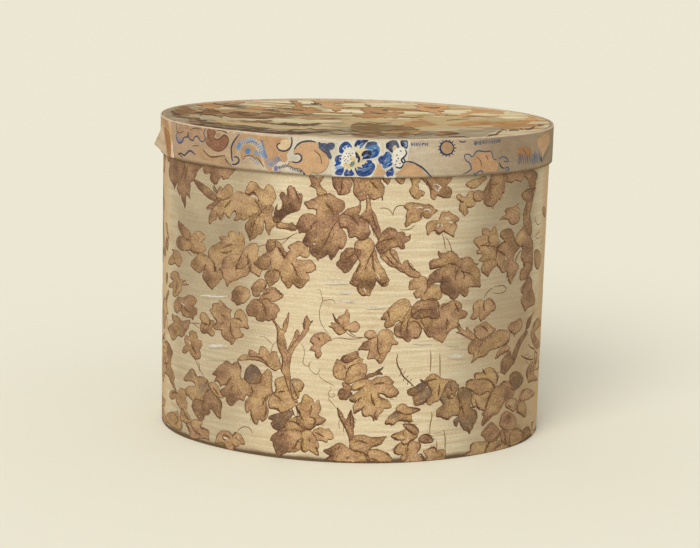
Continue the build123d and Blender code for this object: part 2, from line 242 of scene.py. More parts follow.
# %% The dish
RIM_LOW = 0.311
TOP_HEIGHT = 0.352
TOP_BOARD_INSET = 2.15 * MM
RIM_COVER = 0.45 * MM
TOP_RECESS = 0.8 * MM
DISH_RADIUS = 5.4
DISH_END_DEPTH = DISH_RADIUS - sqrt(DISH_RADIUS**2 - (HALF_LENGTH - TOP_BOARD_INSET) ** 2)
DISH_CENTRE = TOP_HEIGHT - RIM_COVER - TOP_RECESS - DISH_END_DEPTH + DISH_RADIUS
BETTER_GUESSES = 6
MOUTH_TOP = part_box("box_side_paper")[1].z


def dish(x, y, above=0.0):
    """Height of the sagged top board's face, or of a sheet so far above it."""
    return DISH_CENTRE - sqrt((DISH_RADIUS - above) ** 2 - x * x - y * y)


def dish_at(px, py, above):
    """Where the top is that the camera sees at a pixel."""
    way = sight(px, py)
    height = TOP_HEIGHT
    for _ in range(BETTER_GUESSES):
        reach = (height - CAMERA_AT.z) / way.z
        x, y = CAMERA_AT.x + reach * way.x, CAMERA_AT.y + reach * way.y
        height = dish(x, y, above)
    return x, y


print("the top lies", round((TOP_HEIGHT - dish(0, 0)) * 1000, 2), "mm below the rim in the middle")

# %% [markdown]
# Paper round the wall starts as a flat grid, as the real sheet did, and is bent round the oval. A path of
# insets and heights tells how it goes up the wall, over an edge and down again. Its two ends are welded,
# and it gets its thickness at the end.

# %% Sheets that follow the wall
SHARP_EDGE = radians(40)
WELD = 0.01 * MM
COLUMNS = round(GIRTH / (4.0 * MM))
COLUMN_PLACES = [-HALF_GIRTH + GIRTH * i / COLUMNS for i in range(COLUMNS + 1)]


def finish_piece(bm, name, body):
    """Makes a piece of a finished shape: shaded smooth except at its sharp edges, riding on its body."""
    for face in bm.faces:
        face.smooth = True
    for edge in bm.edges:
        edge.smooth = len(edge.link_faces) != 2 or edge.calc_face_angle(0) < SHARP_EDGE
    mesh = bpy.data.meshes.new(name)
    bm.to_mesh(mesh)
    bm.free()
    piece = bpy.data.objects.new(name, mesh)
    scene.collection.objects.link(piece)
    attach(piece, body)
    print(name, "faces", len(mesh.polygons))
    return piece


def bent_grid(path):
    """A grid bent round the wall. A row is an (inset, height), or gives one for a place along the wall."""
    bm = bmesh.new()
    rows = len(path) - 1
    bmesh.ops.create_grid(bm, x_segments=COLUMNS, y_segments=rows, size=0.5)
    for vert in bm.verts:
        along = COLUMN_PLACES[round((vert.co.x + 0.5) * COLUMNS)]
        step = path[round((vert.co.y + 0.5) * rows)]
        inset, height = step(along) if callable(step) else step
        vert.co = wall(along, inset, height)
    return bm


def thicken(bm, thickness):
    """Gives a sheet its thickness, away from the side that its faces look to, and keeps them looking out."""
    bmesh.ops.remove_doubles(bm, verts=bm.verts, dist=WELD)
    bmesh.ops.solidify(bm, geom=bm.faces[:], thickness=thickness)
    bmesh.ops.recalc_face_normals(bm, faces=bm.faces[:])


def corner(inset, height, radius, start, end, steps):
    """Rows round an edge: part of a circle in the wall's section, between two angles. 0 is inwards."""
    turns = [radians(start + (end - start) * i / steps) for i in range(steps + 1)]
    return [(inset + radius * cos(turn), height + radius * sin(turn)) for turn in turns]


def wobble(along, height, size, seed):
    """A slow unevenness that is the same in every run. size is about that of one buckle."""
    spot = wall(along, 0, height) / size
    return noise.noise(spot + Vector((seed, 0, 0)))


def trim(bm, spot, way):
    """Cuts off what lies past a spot, seen in one direction."""
    everything = bm.verts[:] + bm.edges[:] + bm.faces[:]
    bmesh.ops.bisect_plane(bm, geom=everything, plane_co=spot, plane_no=way, clear_outer=True)


# %% The papers of the box
PAPER = 0.18 * MM
SIDE_FACE = 3.45 * MM
SIDE_UNEVEN = 0.12 * MM
SIDE_HEIGHTS = [0.0004 + i * 0.0145 for i in range(24)]
MOUTH_MIDDLE = 4.75 * MM
MOUTH_BEND = 1.25 * MM
TURN_IN_INSET = 6.0 * MM
TURN_IN_DEPTHS = (4, 8, 12, 15.8)
LINING_FACE = 5.86 * MM
LINING_UNEVEN = 0.1 * MM
LINING_LOW = 0.0031
LINING_TOP = MOUTH_TOP - 16.3 * MM
LINING_ROWS = 16


def side_inset(along, height):
    """How far in the side's paper lies: the board below it is slightly uneven."""
    return SIDE_FACE + SIDE_UNEVEN * wobble(along, height, size=0.05, seed=3)


def side_row(height):
    """A row of the side's paper."""
    return lambda along: (side_inset(along, height), height)


def lining_row(height):
    """A row of the lining, which stands off a little from what it is pasted to."""

    def place(along):
        return LINING_FACE + LINING_UNEVEN * (1 + wobble(along, height, size=0.06, seed=8)), height

    return place


side_path = [side_row(height) for height in SIDE_HEIGHTS]
side_path += corner(MOUTH_MIDDLE, MOUTH_TOP - MOUTH_BEND, MOUTH_BEND, 180, 0, steps=8)
side_path += [(TURN_IN_INSET, MOUTH_TOP - depth * MM) for depth in TURN_IN_DEPTHS]
bm = bent_grid(side_path)
thicken(bm, PAPER)
side_paper = finish_piece(bm, "side_paper", "box")
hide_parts("box_side_paper")

lining_height = LINING_TOP - LINING_LOW
bm = bent_grid([lining_row(LINING_LOW + lining_height * i / LINING_ROWS) for i in range(LINING_ROWS + 1)])
thicken(bm, PAPER)
side_lining = finish_piece(bm, "side_lining", "box")
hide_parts("box_side_lining")

# %% The border paper of the rim
RIM_FACE = 0.22 * MM
RIM_UNEVEN = 0.06 * MM
FOOT_BEND = 0.3 * MM
UNDER_TURN = (2.4 * MM, RIM_LOW + FOOT_BEND)
FOOT_MIDDLE = (RIM_FACE + FOOT_BEND, RIM_LOW + 0.35 * MM)
RIM_HEIGHTS = [RIM_LOW + (2 + 4.5 * i) * MM for i in range(9)]
EDGE_BEND = 0.95 * MM
EDGE_MIDDLE = (RIM_FACE + EDGE_BEND, TOP_HEIGHT - 1.0 * MM)
TAB_ABOVE = 0.45 * MM
TAB_INSETS = [(2.3 + 1.6 * i) * MM for i in range(5)]


def rim_inset(along, height):
    """How far in the border paper lies."""
    return RIM_FACE + RIM_UNEVEN * wobble(along, height, size=0.03, seed=5)


def rim_row(height):
    """A row of the border paper."""
    return lambda along: (rim_inset(along, height), height)


def tab_row(inset, above=TAB_ABOVE):
    """A row of the tabs, which lie on the sagged top, or of a sheet so far above the top."""

    def place(along):
        spot = wall(along, inset, 0)
        return inset, dish(spot.x, spot.y, above)

    return place


rim_path = [UNDER_TURN]
rim_path += corner(*FOOT_MIDDLE, FOOT_BEND, 270, 180, steps=3)
rim_path += [rim_row(height) for height in RIM_HEIGHTS]
rim_path += corner(*EDGE_MIDDLE, EDGE_BEND, 180, 0, steps=8)
rim_path += [tab_row(inset) for inset in TAB_INSETS]
bm = bent_grid(rim_path)
bmesh.ops.remove_doubles(bm, verts=bm.verts, dist=WELD)

# %% [markdown]
# At the left end a corner of the border paper has sprung off. The sheet is cut along the crease and along
# its end, what lies between is taken out, and the loose corner stands off from the crease as a piece of
# its own.

# %% The loose corner
# The crease's start, the corner and the paper's end are told by how far along the wall they lie
CREASE_INSET = 0.1 * MM
CREASE_START = -0.2449
CREASE_TOP_HEIGHT = 0.343
CORNER_ALONG = -0.255
PAPER_END = -0.2657
LEFT_END = -0.19
FOLDED_BACK = radians(118)
CORNER_CURL = 1.4 * MM
CORNER_CUTS = 11
CREASE_FOOT = wall(CREASE_START, CREASE_INSET, RIM_LOW + CREASE_INSET)
CREASE_TOP = wall(PAPER_END, CREASE_INSET, CREASE_TOP_HEIGHT)
sheet_corner = wall(PAPER_END, 0, RIM_LOW)
crease = (CREASE_TOP - CREASE_FOOT).normalized()
out = outward(CORNER_ALONG)
past_crease = crease.cross(out).normalized()
if past_crease.dot(sheet_corner - CREASE_FOOT) < 0:
    past_crease.negate()
past_end = (wall(PAPER_END - MM, 0, 0) - wall(PAPER_END, 0, 0)).normalized()
for spot, way in ((CREASE_FOOT, past_crease), (sheet_corner, past_end)):
    near = [face for face in bm.faces if face.calc_center_median().x < LEFT_END]
    near += list({edge for face in near for edge in face.edges})
    bmesh.ops.bisect_plane(bm, geom=near, plane_co=spot, plane_no=way)
gone = []
for face in bm.faces:
    middle = face.calc_center_median()
    loose = (middle - CREASE_FOOT).dot(past_crease) > 0 and (middle - sheet_corner).dot(past_end) < 0
    if middle.x < LEFT_END and middle.z < CREASE_TOP.z and loose:
        gone.append(face)
bmesh.ops.delete(bm, geom=gone, context="FACES")
print("faces taken out for the loose corner", len(gone))
thicken(bm, PAPER)
rim_paper = finish_piece(bm, "rim_paper", "lid")
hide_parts("lid_rim_paper")

bm = bmesh.new()
bm.faces.new([bm.verts.new(spot) for spot in (CREASE_FOOT, CREASE_TOP, sheet_corner)])
bmesh.ops.subdivide_edges(bm, edges=bm.edges[:], cuts=CORNER_CUTS, use_grid_fill=True)
reach = (sheet_corner - CREASE_FOOT).cross(crease).length
for vert in bm.verts:
    share = (vert.co - CREASE_FOOT).cross(crease).length / reach
    vert.co += out * CORNER_CURL * (share**2 - share)
turned = Matrix.Rotation(FOLDED_BACK, 3, crease)
if (turned @ (sheet_corner - CREASE_FOOT)).dot(out) < 0:
    turned = Matrix.Rotation(-FOLDED_BACK, 3, crease)
bmesh.ops.rotate(bm, cent=CREASE_FOOT, matrix=turned, verts=bm.verts)
tip = min((vert.co for vert in bm.verts), key=lambda co: co.x)
print("tip of the loose corner", [round(x, 4) for x in tip])
thicken(bm, PAPER)
loose_corner = finish_piece(bm, "loose_corner", "lid")

# %% [markdown]
# The sheet on the top is cut from a grid with one straight cut after another, each along the oval's edge,
# and then laid into the dish.

# %% The top's paper
TOP_CELL = 4.0 * MM
TRIM_CUTS = 96
TRIM_WELD = 0.02 * MM
TOP_PAPER_INSET = 4.9 * MM
TOP_PAPER_ABOVE = 0.75 * MM


def trim_to_oval(bm, inset):
    """Cuts a flat shape to the oval, with cuts that each touch it."""
    for i in range(TRIM_CUTS):
        along = GIRTH * i / TRIM_CUTS
        trim(bm, wall(along, inset, 0), outward(along))


bm = bmesh.new()
count_x, count_y = round(2 * HALF_LENGTH / TOP_CELL), round(2 * HALF_WIDTH / TOP_CELL)
bmesh.ops.create_grid(bm, x_segments=count_x, y_segments=count_y, size=1)
bmesh.ops.scale(bm, vec=(HALF_LENGTH, HALF_WIDTH, 1), verts=bm.verts)
trim_to_oval(bm, TOP_PAPER_INSET)
bmesh.ops.remove_doubles(bm, verts=bm.verts, dist=TRIM_WELD)
for vert in bm.verts:
    vert.co.z = dish(vert.co.x, vert.co.y, TOP_PAPER_ABOVE)
thicken(bm, PAPER)
top_paper = finish_piece(bm, "top_paper", "lid")
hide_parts("lid_top_paper")

# %% [markdown]
# Paper and ink are all matt, so what tells them apart is colour. Each material is a chain of small steps:
# streaks where the brush laid the ground, painted shade and painted reflected light in place of the light
# on the round box, stains, wear at the foot, a painted shadow line along the rim's lower edge, and the
# sheet's own grain, which also gives a slight bump.

# %% Steps of a material
SHEET_GRAIN = 950
BOARD_GRAIN = 420
THREAD_GRAIN = 1400
PAPER_BUMP = 0.12 * MM
SLIGHT_BUMP = 0.1 * MM
BOARD_BUMP = 0.2 * MM
GRAIN_TONES = ((0.3, 0.76), (0.62, 1.0))
BUMP_STRENGTH = 0.5
MATT_ROUGHNESS = 0.86
MATT_SHINE = 0.18


def linked(tree, socket, value):
    """Feeds a socket with another node's output, or with a plain number or colour."""
    if isinstance(value, bpy.types.NodeSocket):
        tree.links.new(value, socket)
    else:
        socket.default_value = value


def noise_node(tree, scale, stretch=(1, 1, 1), detail=5.0, place=(0, 0, 0)):
    """Mottling on the object's own coordinates, stretched where the brush or the mill went one way."""
    where = tree.nodes.new("ShaderNodeTexCoord")
    mapping = tree.nodes.new("ShaderNodeMapping")
    mapping.inputs["Scale"].default_value = stretch
    mapping.inputs["Location"].default_value = place
    mottle = tree.nodes.new("ShaderNodeTexNoise")
    mottle.inputs["Scale"].default_value = scale
    mottle.inputs["Detail"].default_value = detail
    tree.links.new(where.outputs["Object"], mapping.inputs["Vector"])
    tree.links.new(mapping.outputs["Vector"], mottle.inputs["Vector"])
    return mottle.outputs["Fac"]


def axis_node(tree, axis):
    """A coordinate of the object."""
    where = tree.nodes.new("ShaderNodeTexCoord")
    split = tree.nodes.new("ShaderNodeSeparateXYZ")
    tree.links.new(where.outputs["Object"], split.inputs[0])
    return split.outputs[axis]


def carried(tree, name, output="Fac"):
    """What the points of a mesh carry under a name."""
    reader = tree.nodes.new("ShaderNodeAttribute")
    reader.attribute_name = name
    return reader.outputs[output]


def maths_of(tree, operation, first, second=0.0, third=None):
    """One step of arithmetic."""
    step = tree.nodes.new("ShaderNodeMath")
    step.operation = operation
    linked(tree, step.inputs[0], first)
    linked(tree, step.inputs[1], second)
    if third is not None:
        linked(tree, step.inputs[2], third)
    return step.outputs[0]


def scaled(tree, value, times, more):
    """A number times another, and one more added."""
    return maths_of(tree, "MULTIPLY_ADD", value, times, more)


def ramp_of(tree, share, *stops):
    """Colours, or greys as shares, laid along a value. Each stop is (position, colour or share)."""
    ramp = tree.nodes.new("ShaderNodeValToRGB")
    elements = ramp.color_ramp.elements
    for i, (position, colour) in enumerate(stops):
        element = elements[i] if i < 2 else elements.new(position)
        element.position = position
        element.color = colour_of(*colour) if isinstance(colour, tuple) else (colour, colour, colour, 1)
    linked(tree, ramp.inputs["Fac"], share)
    return ramp.outputs["Color"]


def mixed(tree, share, first, second, blend="MIX"):
    """Two colours mixed by a share."""
    mix = tree.nodes.new("ShaderNodeMix")
    mix.data_type = "RGBA"
    mix.blend_type = blend
    linked(tree, mix.inputs["Factor"], share)
    linked(tree, mix.inputs["A"], first)
    linked(tree, mix.inputs["B"], second)
    return mix.outputs["Result"]


def darkened(tree, first, second):
    """Two colours or greys multiplied."""
    return mixed(tree, 1.0, first, second, "MULTIPLY")


def washed(tree, share, colour, *wash):
    """A colour with another one, written from 0 to 255, laid over it as far as the share says."""
    return mixed(tree, share, colour, colour_of(*wash))


def matt(tree, shader, colour, depth, scale=SHEET_GRAIN, detail=2):
    """Finishes a matt sheet: its colour with a grain over it, and the grain as a bump of that depth."""
    grain = noise_node(tree, scale, detail=detail)
    speckle = ramp_of(tree, grain, *GRAIN_TONES)
    tree.links.new(darkened(tree, colour, speckle), shader.inputs["Base Color"])
    bump = tree.nodes.new("ShaderNodeBump")
    bump.inputs["Distance"].default_value = depth
    bump.inputs["Strength"].default_value = BUMP_STRENGTH
    tree.links.new(grain, bump.inputs["Height"])
    tree.links.new(bump.outputs["Normal"], shader.inputs["Normal"])
    shader.inputs["Roughness"].default_value = MATT_ROUGHNESS
    shader.inputs["Specular IOR Level"].default_value = MATT_SHINE


# %% The papers' grounds
FOOT_WEAR_TOP = 0.0042
# Painted shade: the ground is darkened on both sides of the middle, where the round box turns from the light
SHADE_ON_LEFT = ((0.09, 0.4), (0.12, 1.0), (0.25, 0.9), (0.36, 0.08))
SHADE_ON_RIGHT = ((0.66, 0.08), (0.76, 0.8), (0.88, 1.0), (0.91, 0.2))
BORDER_TONES = (
    (0.05, (194, 164, 130)),
    (0.2, (180, 152, 122)),
    (0.32, (192, 168, 136)),
    (0.42, (220, 210, 188)),
    (0.62, (214, 202, 178)),
    (0.74, (196, 176, 148)),
    (0.88, (168, 146, 120)),
    (0.98, (182, 158, 126)),
)


def leaf_ground():
    """Cream, brushed on along the sheet, painted shade beside the middle, painted reflected light at the
    ends.
    """
    material, tree, shader = new_material("leaf_ground")
    streaks = noise_node(tree, 34, (0.55, 0.55, 9), 7)
    threads = noise_node(tree, 60, (0.25, 0.25, 16), 4, (3, 1, 5))
    cream = ramp_of(tree, streaks, (0.3, (206, 185, 151)), (0.52, (221, 204, 170)), (0.68, (232, 219, 189)))
    cream = washed(tree, ramp_of(tree, threads, (0.55, 0.0), (0.74, 0.38)), cream, 186, 162, 128)
    patches = noise_node(tree, 7, (1, 1, 1.2), 3, (0.4, 2, 0))
    across = scaled(tree, axis_node(tree, "X"), 2.0, 0.5)
    upward = maths_of(tree, "MULTIPLY", axis_node(tree, "Z"), 3.0)
    # Painted shade beside the middle, patchy, and stronger higher up, under the lid's rim
    painted_shade = ramp_of(tree, across, *SHADE_ON_LEFT, *SHADE_ON_RIGHT)
    painted_shade = darkened(tree, painted_shade, ramp_of(tree, upward, (0.2, 0.6), (0.5, 0.75), (0.75, 1.0)))
    painted_shade = darkened(tree, painted_shade, ramp_of(tree, patches, (0.3, 0.65), (0.52, 1.0)))
    colour = washed(tree, painted_shade, cream, 149, 132, 106)
    # Painted shade in tan, low on the right side of the box
    rightward = ramp_of(tree, across, (0.76, 0.0), (0.86, 0.6))
    shade_low_right = darkened(tree, rightward, ramp_of(tree, upward, (0.3, 1.0), (0.6, 0.0)))
    colour = washed(tree, shade_low_right, colour, 172, 140, 102)
    # Painted reflected light: a warm tan strip along both ends of the box
    side_way = maths_of(tree, "ABSOLUTE", axis_node(tree, "X"))
    ends = ramp_of(tree, side_way, (0.2035, 0.0), (0.2105, 0.75), (0.2175, 0.45))
    colour = washed(tree, ends, colour, 201, 166, 122)
    stains = ramp_of(tree, noise_node(tree, 26, (1, 1, 1.6), 6, (7, 3, 1)), (0.62, 0.0), (0.74, 0.5))
    colour = washed(tree, stains, colour, 178, 140, 94)
    rubbed = noise_node(tree, 70, (0.5, 0.5, 1), 6, (5, 5, 5))
    height = scaled(tree, rubbed, -0.006, axis_node(tree, "Z"))
    foot = ramp_of(tree, height, (0.0, 0.95), (FOOT_WEAR_TOP - 0.003, 0.3), (FOOT_WEAR_TOP, 0.0))
    colour = washed(tree, foot, colour, 92, 72, 50)
    matt(tree, shader, colour, PAPER_BUMP)
    return material


def top_ground():
    """The top's leaf paper: cream at the back, painted shade in front and on the left, streaked, dabbed in
    browns.
    """
    material, tree, shader = new_material("top_ground")
    streaks = noise_node(tree, 22, (0.6, 4, 1), 7)
    cream = ramp_of(tree, streaks, (0.32, (184, 158, 112)), (0.46, (212, 192, 148)), (0.62, (232, 220, 182)))
    backward = scaled(tree, axis_node(tree, "Y"), 2.9, 0.5)
    leftward = scaled(tree, axis_node(tree, "X"), -2.3, 0.5)
    # Painted shade: greyer in front and towards the left end
    grey = ramp_of(tree, backward, (0.0, 0.6), (0.4, 0.28), (0.75, 0.0))
    colour = washed(tree, grey, cream, 146, 124, 90)
    colour = washed(tree, ramp_of(tree, leftward, (0.72, 0.0), (0.98, 0.6)), colour, 150, 138, 116)
    dabs = ramp_of(tree, noise_node(tree, 17, (0.55, 2.4, 1), 7, (2, 8, 3)), (0.52, 0.0), (0.58, 0.85))
    colour = washed(tree, dabs, colour, 164, 116, 64)
    deep = ramp_of(tree, noise_node(tree, 19, (0.5, 3, 1), 7, (5, 1, 9)), (0.51, 0.0), (0.58, 0.95))
    deep = darkened(tree, deep, ramp_of(tree, leftward, (0.4, 0.2), (0.75, 1.0)))
    colour = washed(tree, deep, colour, 84, 58, 34)
    matt(tree, shader, colour, PAPER_BUMP)
    return material


def border_ground():
    """Cream in the middle, pinkish towards one end and duller and greyer towards the other."""
    material, tree, shader = new_material("border_ground")
    streaks = noise_node(tree, 40, (0.5, 0.5, 5), 6)
    along = scaled(tree, noise_node(tree, 14, detail=3), 0.05, axis_node(tree, "X"))
    along = scaled(tree, along, 2.0, 0.5)
    base = ramp_of(tree, along, *BORDER_TONES)
    colour = darkened(tree, base, ramp_of(tree, streaks, (0.3, 0.84), (0.7, 1.0)))
    blooms = ramp_of(tree, noise_node(tree, 30, detail=4, place=(1, 6, 2)), (0.55, 0.0), (0.72, 0.4))
    colour = washed(tree, blooms, colour, 170, 140, 122)
    blooms = ramp_of(tree, noise_node(tree, 55, detail=5, place=(8, 3, 1)), (0.54, 0.0), (0.7, 0.4))
    colour = washed(tree, blooms, colour, 150, 142, 132)
    # Darker mottling towards the right end
    dark_mottling = ramp_of(tree, noise_node(tree, 19, detail=6, place=(3, 1, 8)), (0.4, 0.0), (0.66, 0.75))
    dark_mottling = darkened(tree, dark_mottling, ramp_of(tree, along, (0.76, 0.0), (0.86, 1.0)))
    colour = washed(tree, dark_mottling, colour, 134, 114, 90)
    # Painted shadow: a dark line along the rim paper's lower edge
    low_edge = scaled(tree, noise_node(tree, 90, detail=3), 0.0012, axis_node(tree, "Z"))
    foot = ramp_of(tree, maths_of(tree, "SUBTRACT", low_edge, RIM_LOW), (0.0013, 1.0), (0.0024, 0.0))
    colour = washed(tree, foot, colour, 104, 76, 50)
    matt(tree, shader, colour, SLIGHT_BUMP)
    return material


def plain_paper(
    name, colour, light, dark, scale=22, stretch=(1, 1, 5), grain=SHEET_GRAIN, depth=SLIGHT_BUMP
):
    """Aged paper or board in three tones, mottled, with a grain."""
    material, tree, shader = new_material(name)
    tones = ramp_of(tree, noise_node(tree, scale, stretch), (0.3, dark), (0.5, colour), (0.7, light))
    matt(tree, shader, tones, depth, grain, detail=3)
    return material


leaf_paint = leaf_ground()
lining_paint = plain_paper("lining_ground", (200, 183, 148), (210, 195, 162), (184, 164, 128))
board_paint = plain_paper(
    "pasteboard", (190, 160, 120), (204, 174, 134), (170, 140, 102), 60, (1, 1, 1.5), BOARD_GRAIN, BOARD_BUMP
)
linen_paint = plain_paper(
    "linen", (198, 184, 154), (208, 196, 168), (176, 158, 126), 300, (1, 1, 1), THREAD_GRAIN, BOARD_BUMP
)
corner_paint = plain_paper("corner_back", (224, 208, 178), (232, 220, 194), (206, 186, 152), 90, (1, 1, 1))

for piece, paint in (
    (side_paper, leaf_paint),
    (top_paper, top_ground()),
    (loose_corner, corner_paint),
    (rim_paper, border_ground()),
    (side_lining, lining_paint),
):
    piece.data.materials.append(paint)

for name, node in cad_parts.items():
    if "thread" in name:
        paint = linen_paint
    elif "lining" in name:
        paint = lining_paint
    elif "board" in name:
        paint = board_paint
    else:
        paint = leaf_paint
    for place in node.material_slots:
        place.material = paint
    if not node.material_slots:
        node.data.materials.append(paint)

# %% [markdown]
# The papers were printed from wooden blocks, one colour over another, so the print lies on the sheet in
# thin layers with crisp edges. Each shape here is drawn where the camera sees it, as a few points of its
# outline, brought onto the sheet, and cut fine enough to bend with it. While it is flat, a shape's x is its
# way along the sheet, its y the height and its z how far the ink lies above the paper.
#
# The front's drawing comes again half a round on, at the back. The shapes in the middle of the front,
# which lie between END_FROM and SIDE_END_TO or RIM_END_TO, come again END_SHIFT further on, at the right
# end, and so at the left end too. Small leaves of the upper wall come again in the band that the lid
# covers.

# %% Drawing on a sheet
FLOW_STEPS = 4
PRINT_CELL = 2.8 * MM

# About what a pixel of the picture measures at the front of the box
PIXEL = 1.14 * MM
CLOSEST_POINTS = 0.12 * PIXEL
SHAKE_SIZE = 3 * MM
END_FROM = -0.0255
END_SHIFT = 0.3145
SIDE_END_TO = 0.0545
RIM_END_TO = 0.0645
RIM_DRAWN_TO = 0.2915
BAND_LEAF = 30 * MM
BAND_FROM = 0.4 * RIM_LOW
HEAVY_LEFT = 0.55
HEAVY_DOWN = 0.8
LEAST_LINE = 0.75
LINE_SWING = 0.5
LINE_RIPPLE = 160


def points_of(text):
    """Points written as x,y pairs."""
    return [tuple(float(value) for value in pair.split(",")) for pair in text.split()]


def lines_of(text):
    """The entries of a table, each split into its fields."""
    return [[field.strip() for field in entry.split("|")] for entry in text.split(";") if entry.strip()]


def between(a, b, c, d, t):
    """The value a share t of the way from b to c, on a smooth curve through a, b, c and d."""
    bend, twist = 2 * a - 5 * b + 4 * c - d, 3 * b - a - 3 * c + d
    return 0.5 * (2 * b + (c - a) * t + bend * t**2 + twist * t**3)


def flow(points, closed=False):
    """A smooth line through the points."""
    count = len(points)
    line = []
    for i in range(count if closed else count - 1):
        before = points[i - 1] if i or closed else points[0]
        start, end = points[i], points[(i + 1) % count]
        after = points[(i + 2) % count] if closed or i + 2 < count else points[-1]
        for step in range(FLOW_STEPS):
            t = step / FLOW_STEPS
            spot = tuple(between(*values, t) for values in zip(before, start, end, after))
            if not line or hypot(spot[0] - line[-1][0], spot[1] - line[-1][1]) > CLOSEST_POINTS:
                line.append(spot)
    if not closed:
        line.append(points[-1])
    return line


def hand_drawn(points, across, up):
    """An outline made uneven, as a hand or a worn block leaves it."""
    moved = []
    for x, y in points:
        spot = Vector((x / SHAKE_SIZE, y / SHAKE_SIZE, 0))
        moved.append((x + across * noise.noise(spot), y + up * noise.noise(spot + Vector((9, 4, 7)))))
    return moved


def cut_fine(bm):
    """Cuts flat shapes along a square grid, so that they can bend with the sheet."""
    for axis in (0, 1):
        low = min(vert.co[axis] for vert in bm.verts)
        high = max(vert.co[axis] for vert in bm.verts)
        at = (low // PRINT_CELL + 1) * PRINT_CELL
        while at < high:
            spot, normal = Vector((0, 0, 0)), Vector((0, 0, 0))
            spot[axis], normal[axis] = at, 1
            everything = bm.verts[:] + bm.edges[:] + bm.faces[:]
            bmesh.ops.bisect_plane(bm, geom=everything, plane_co=spot, plane_no=normal, dist=WELD)
            at += PRINT_CELL


def flat_shape(outline, lift):
    """A flat shape with this outline, cut fine."""
    bm = bmesh.new()
    face = bm.faces.new([bm.verts.new((x, y, lift)) for x, y in outline])
    face.normal_update()
    if face.normal.z < 0:
        face.normal_flip()
    cut_fine(bm)
    return bm


def flat_strokes(lines, stretch=1):
    """Flat strokes. A line is (points, half widths, closed, lift), and stretch widens it up the sheet."""
    bm = bmesh.new()
    spread = {}
    for points, widths, closed, lift in lines:
        verts = [bm.verts.new((x, y, lift)) for x, y in points]
        count = len(verts)
        for i in range(count if closed else count - 1):
            bm.edges.new((verts[i], verts[(i + 1) % count]))
        for i, vert in enumerate(verts):
            before = points[i - 1] if i or closed else points[0]
            after = points[(i + 1) % count] if closed or i + 1 < count else points[-1]
            across = Vector(((before[1] - after[1]) / stretch, after[0] - before[0], 0)).normalized()
            across.y *= stretch
            spread[vert] = across * widths[i]
    made = bmesh.ops.extrude_edge_only(bm, edges=bm.edges[:])
    new = {item for item in made["geom"] if isinstance(item, bmesh.types.BMVert)}
    for vert, across in spread.items():
        twin = next(edge.other_vert(vert) for edge in vert.link_edges if edge.other_vert(vert) in new)
        twin.co += across
        vert.co -= across
    bmesh.ops.recalc_face_normals(bm, faces=bm.faces[:])
    bmesh.ops.reverse_faces(bm, faces=[face for face in bm.faces if face.normal.z < 0])
    return bm


def joined(shapes, numbers=(), inks=False):
    """One mesh of many. numbers names what their points carry. inks says that they carry a colour too."""
    whole = bmesh.new()
    for number in numbers:
        whole.verts.layers.float.new(number)
    if inks:
        whole.verts.layers.float_color.new("ink")
    carrier = bpy.data.meshes.new("carrier")
    for bm in shapes:
        bm.to_mesh(carrier)
        bm.free()
        whole.from_mesh(carrier)
    bpy.data.meshes.remove(carrier)
    return whole


def outline_widths(points, thin, thick):
    """Half widths of a drawn outline, which is heavier where it faces down and to the left."""
    count = len(points)
    area = sum(points[i - 1][0] * points[i][1] - points[i][0] * points[i - 1][1] for i in range(count))
    widths = []
    for i in range(count):
        ax, ay = points[i - 1]
        bx, by = points[(i + 1) % count]
        length = hypot(bx - ax, by - ay) or 1
        out = ((by - ay) / length, (ax - bx) / length)
        if area < 0:
            out = (-out[0], -out[1])
        weight = max(0, -HEAVY_LEFT * out[0] - HEAVY_DOWN * out[1])
        uneven = LEAST_LINE + LINE_SWING * noise.noise(Vector((ax * LINE_RIPPLE, ay * LINE_RIPPLE, 0)))
        widths.append(uneven * (thin + (thick - thin) * weight))
    return widths


def tapered(points, width, ends=0.35):
    """Half widths of a stroke that thins towards its ends."""
    count = len(points) - 1
    return [width * (ends + (1 - ends) * max(0, sin(pi * i / count)) ** 0.6) / 2 for i in range(count + 1)]


def shifts(points, end_to, band_low=None):
    """Where a shape of the front's drawing is printed: in its place, over the end and under the lid."""
    low_x, high_x = min(x for x, _ in points), max(x for x, _ in points)
    low_y, high_y = min(y for _, y in points), max(y for _, y in points)
    places = [(0, 0)]
    if END_FROM < low_x and high_x < end_to:
        places.append((END_SHIFT, 0))
    if band_low and high_y - low_y < BAND_LEAF and low_y > BAND_FROM:
        places.append((0, band_low - low_y))
    return places


def shifted(points, shift):
    """Points moved along the sheet and up it."""
    return [(x + shift[0], y + shift[1]) for x, y in points]


def repeat_behind(bm):
    """The same drawing comes again half a round on, at the back."""
    copy = bmesh.ops.duplicate(bm, geom=bm.verts[:] + bm.edges[:] + bm.faces[:])
    verts = [item for item in copy["geom"] if isinstance(item, bmesh.types.BMVert)]
    bmesh.ops.translate(bm, vec=(HALF_GIRTH, 0, 0), verts=verts)


def trim_sheet(bm, low, high):
    """Cuts off what lies past the sheet's lower and upper edges."""
    trim(bm, (0, low, 0), (0, -1, 0))
    trim(bm, (0, high, 0), (0, 1, 0))


# %% [markdown]
# The leaves of the box's paper, in the picture's pixels. Each has its tone, from 0 for light tan to 1 for
# dark brown, its warmth, from -1 for grey over 0 for golden to 1 for rosy, its outline, its shaded spots
# (x, y, spread, strength), and its veins.

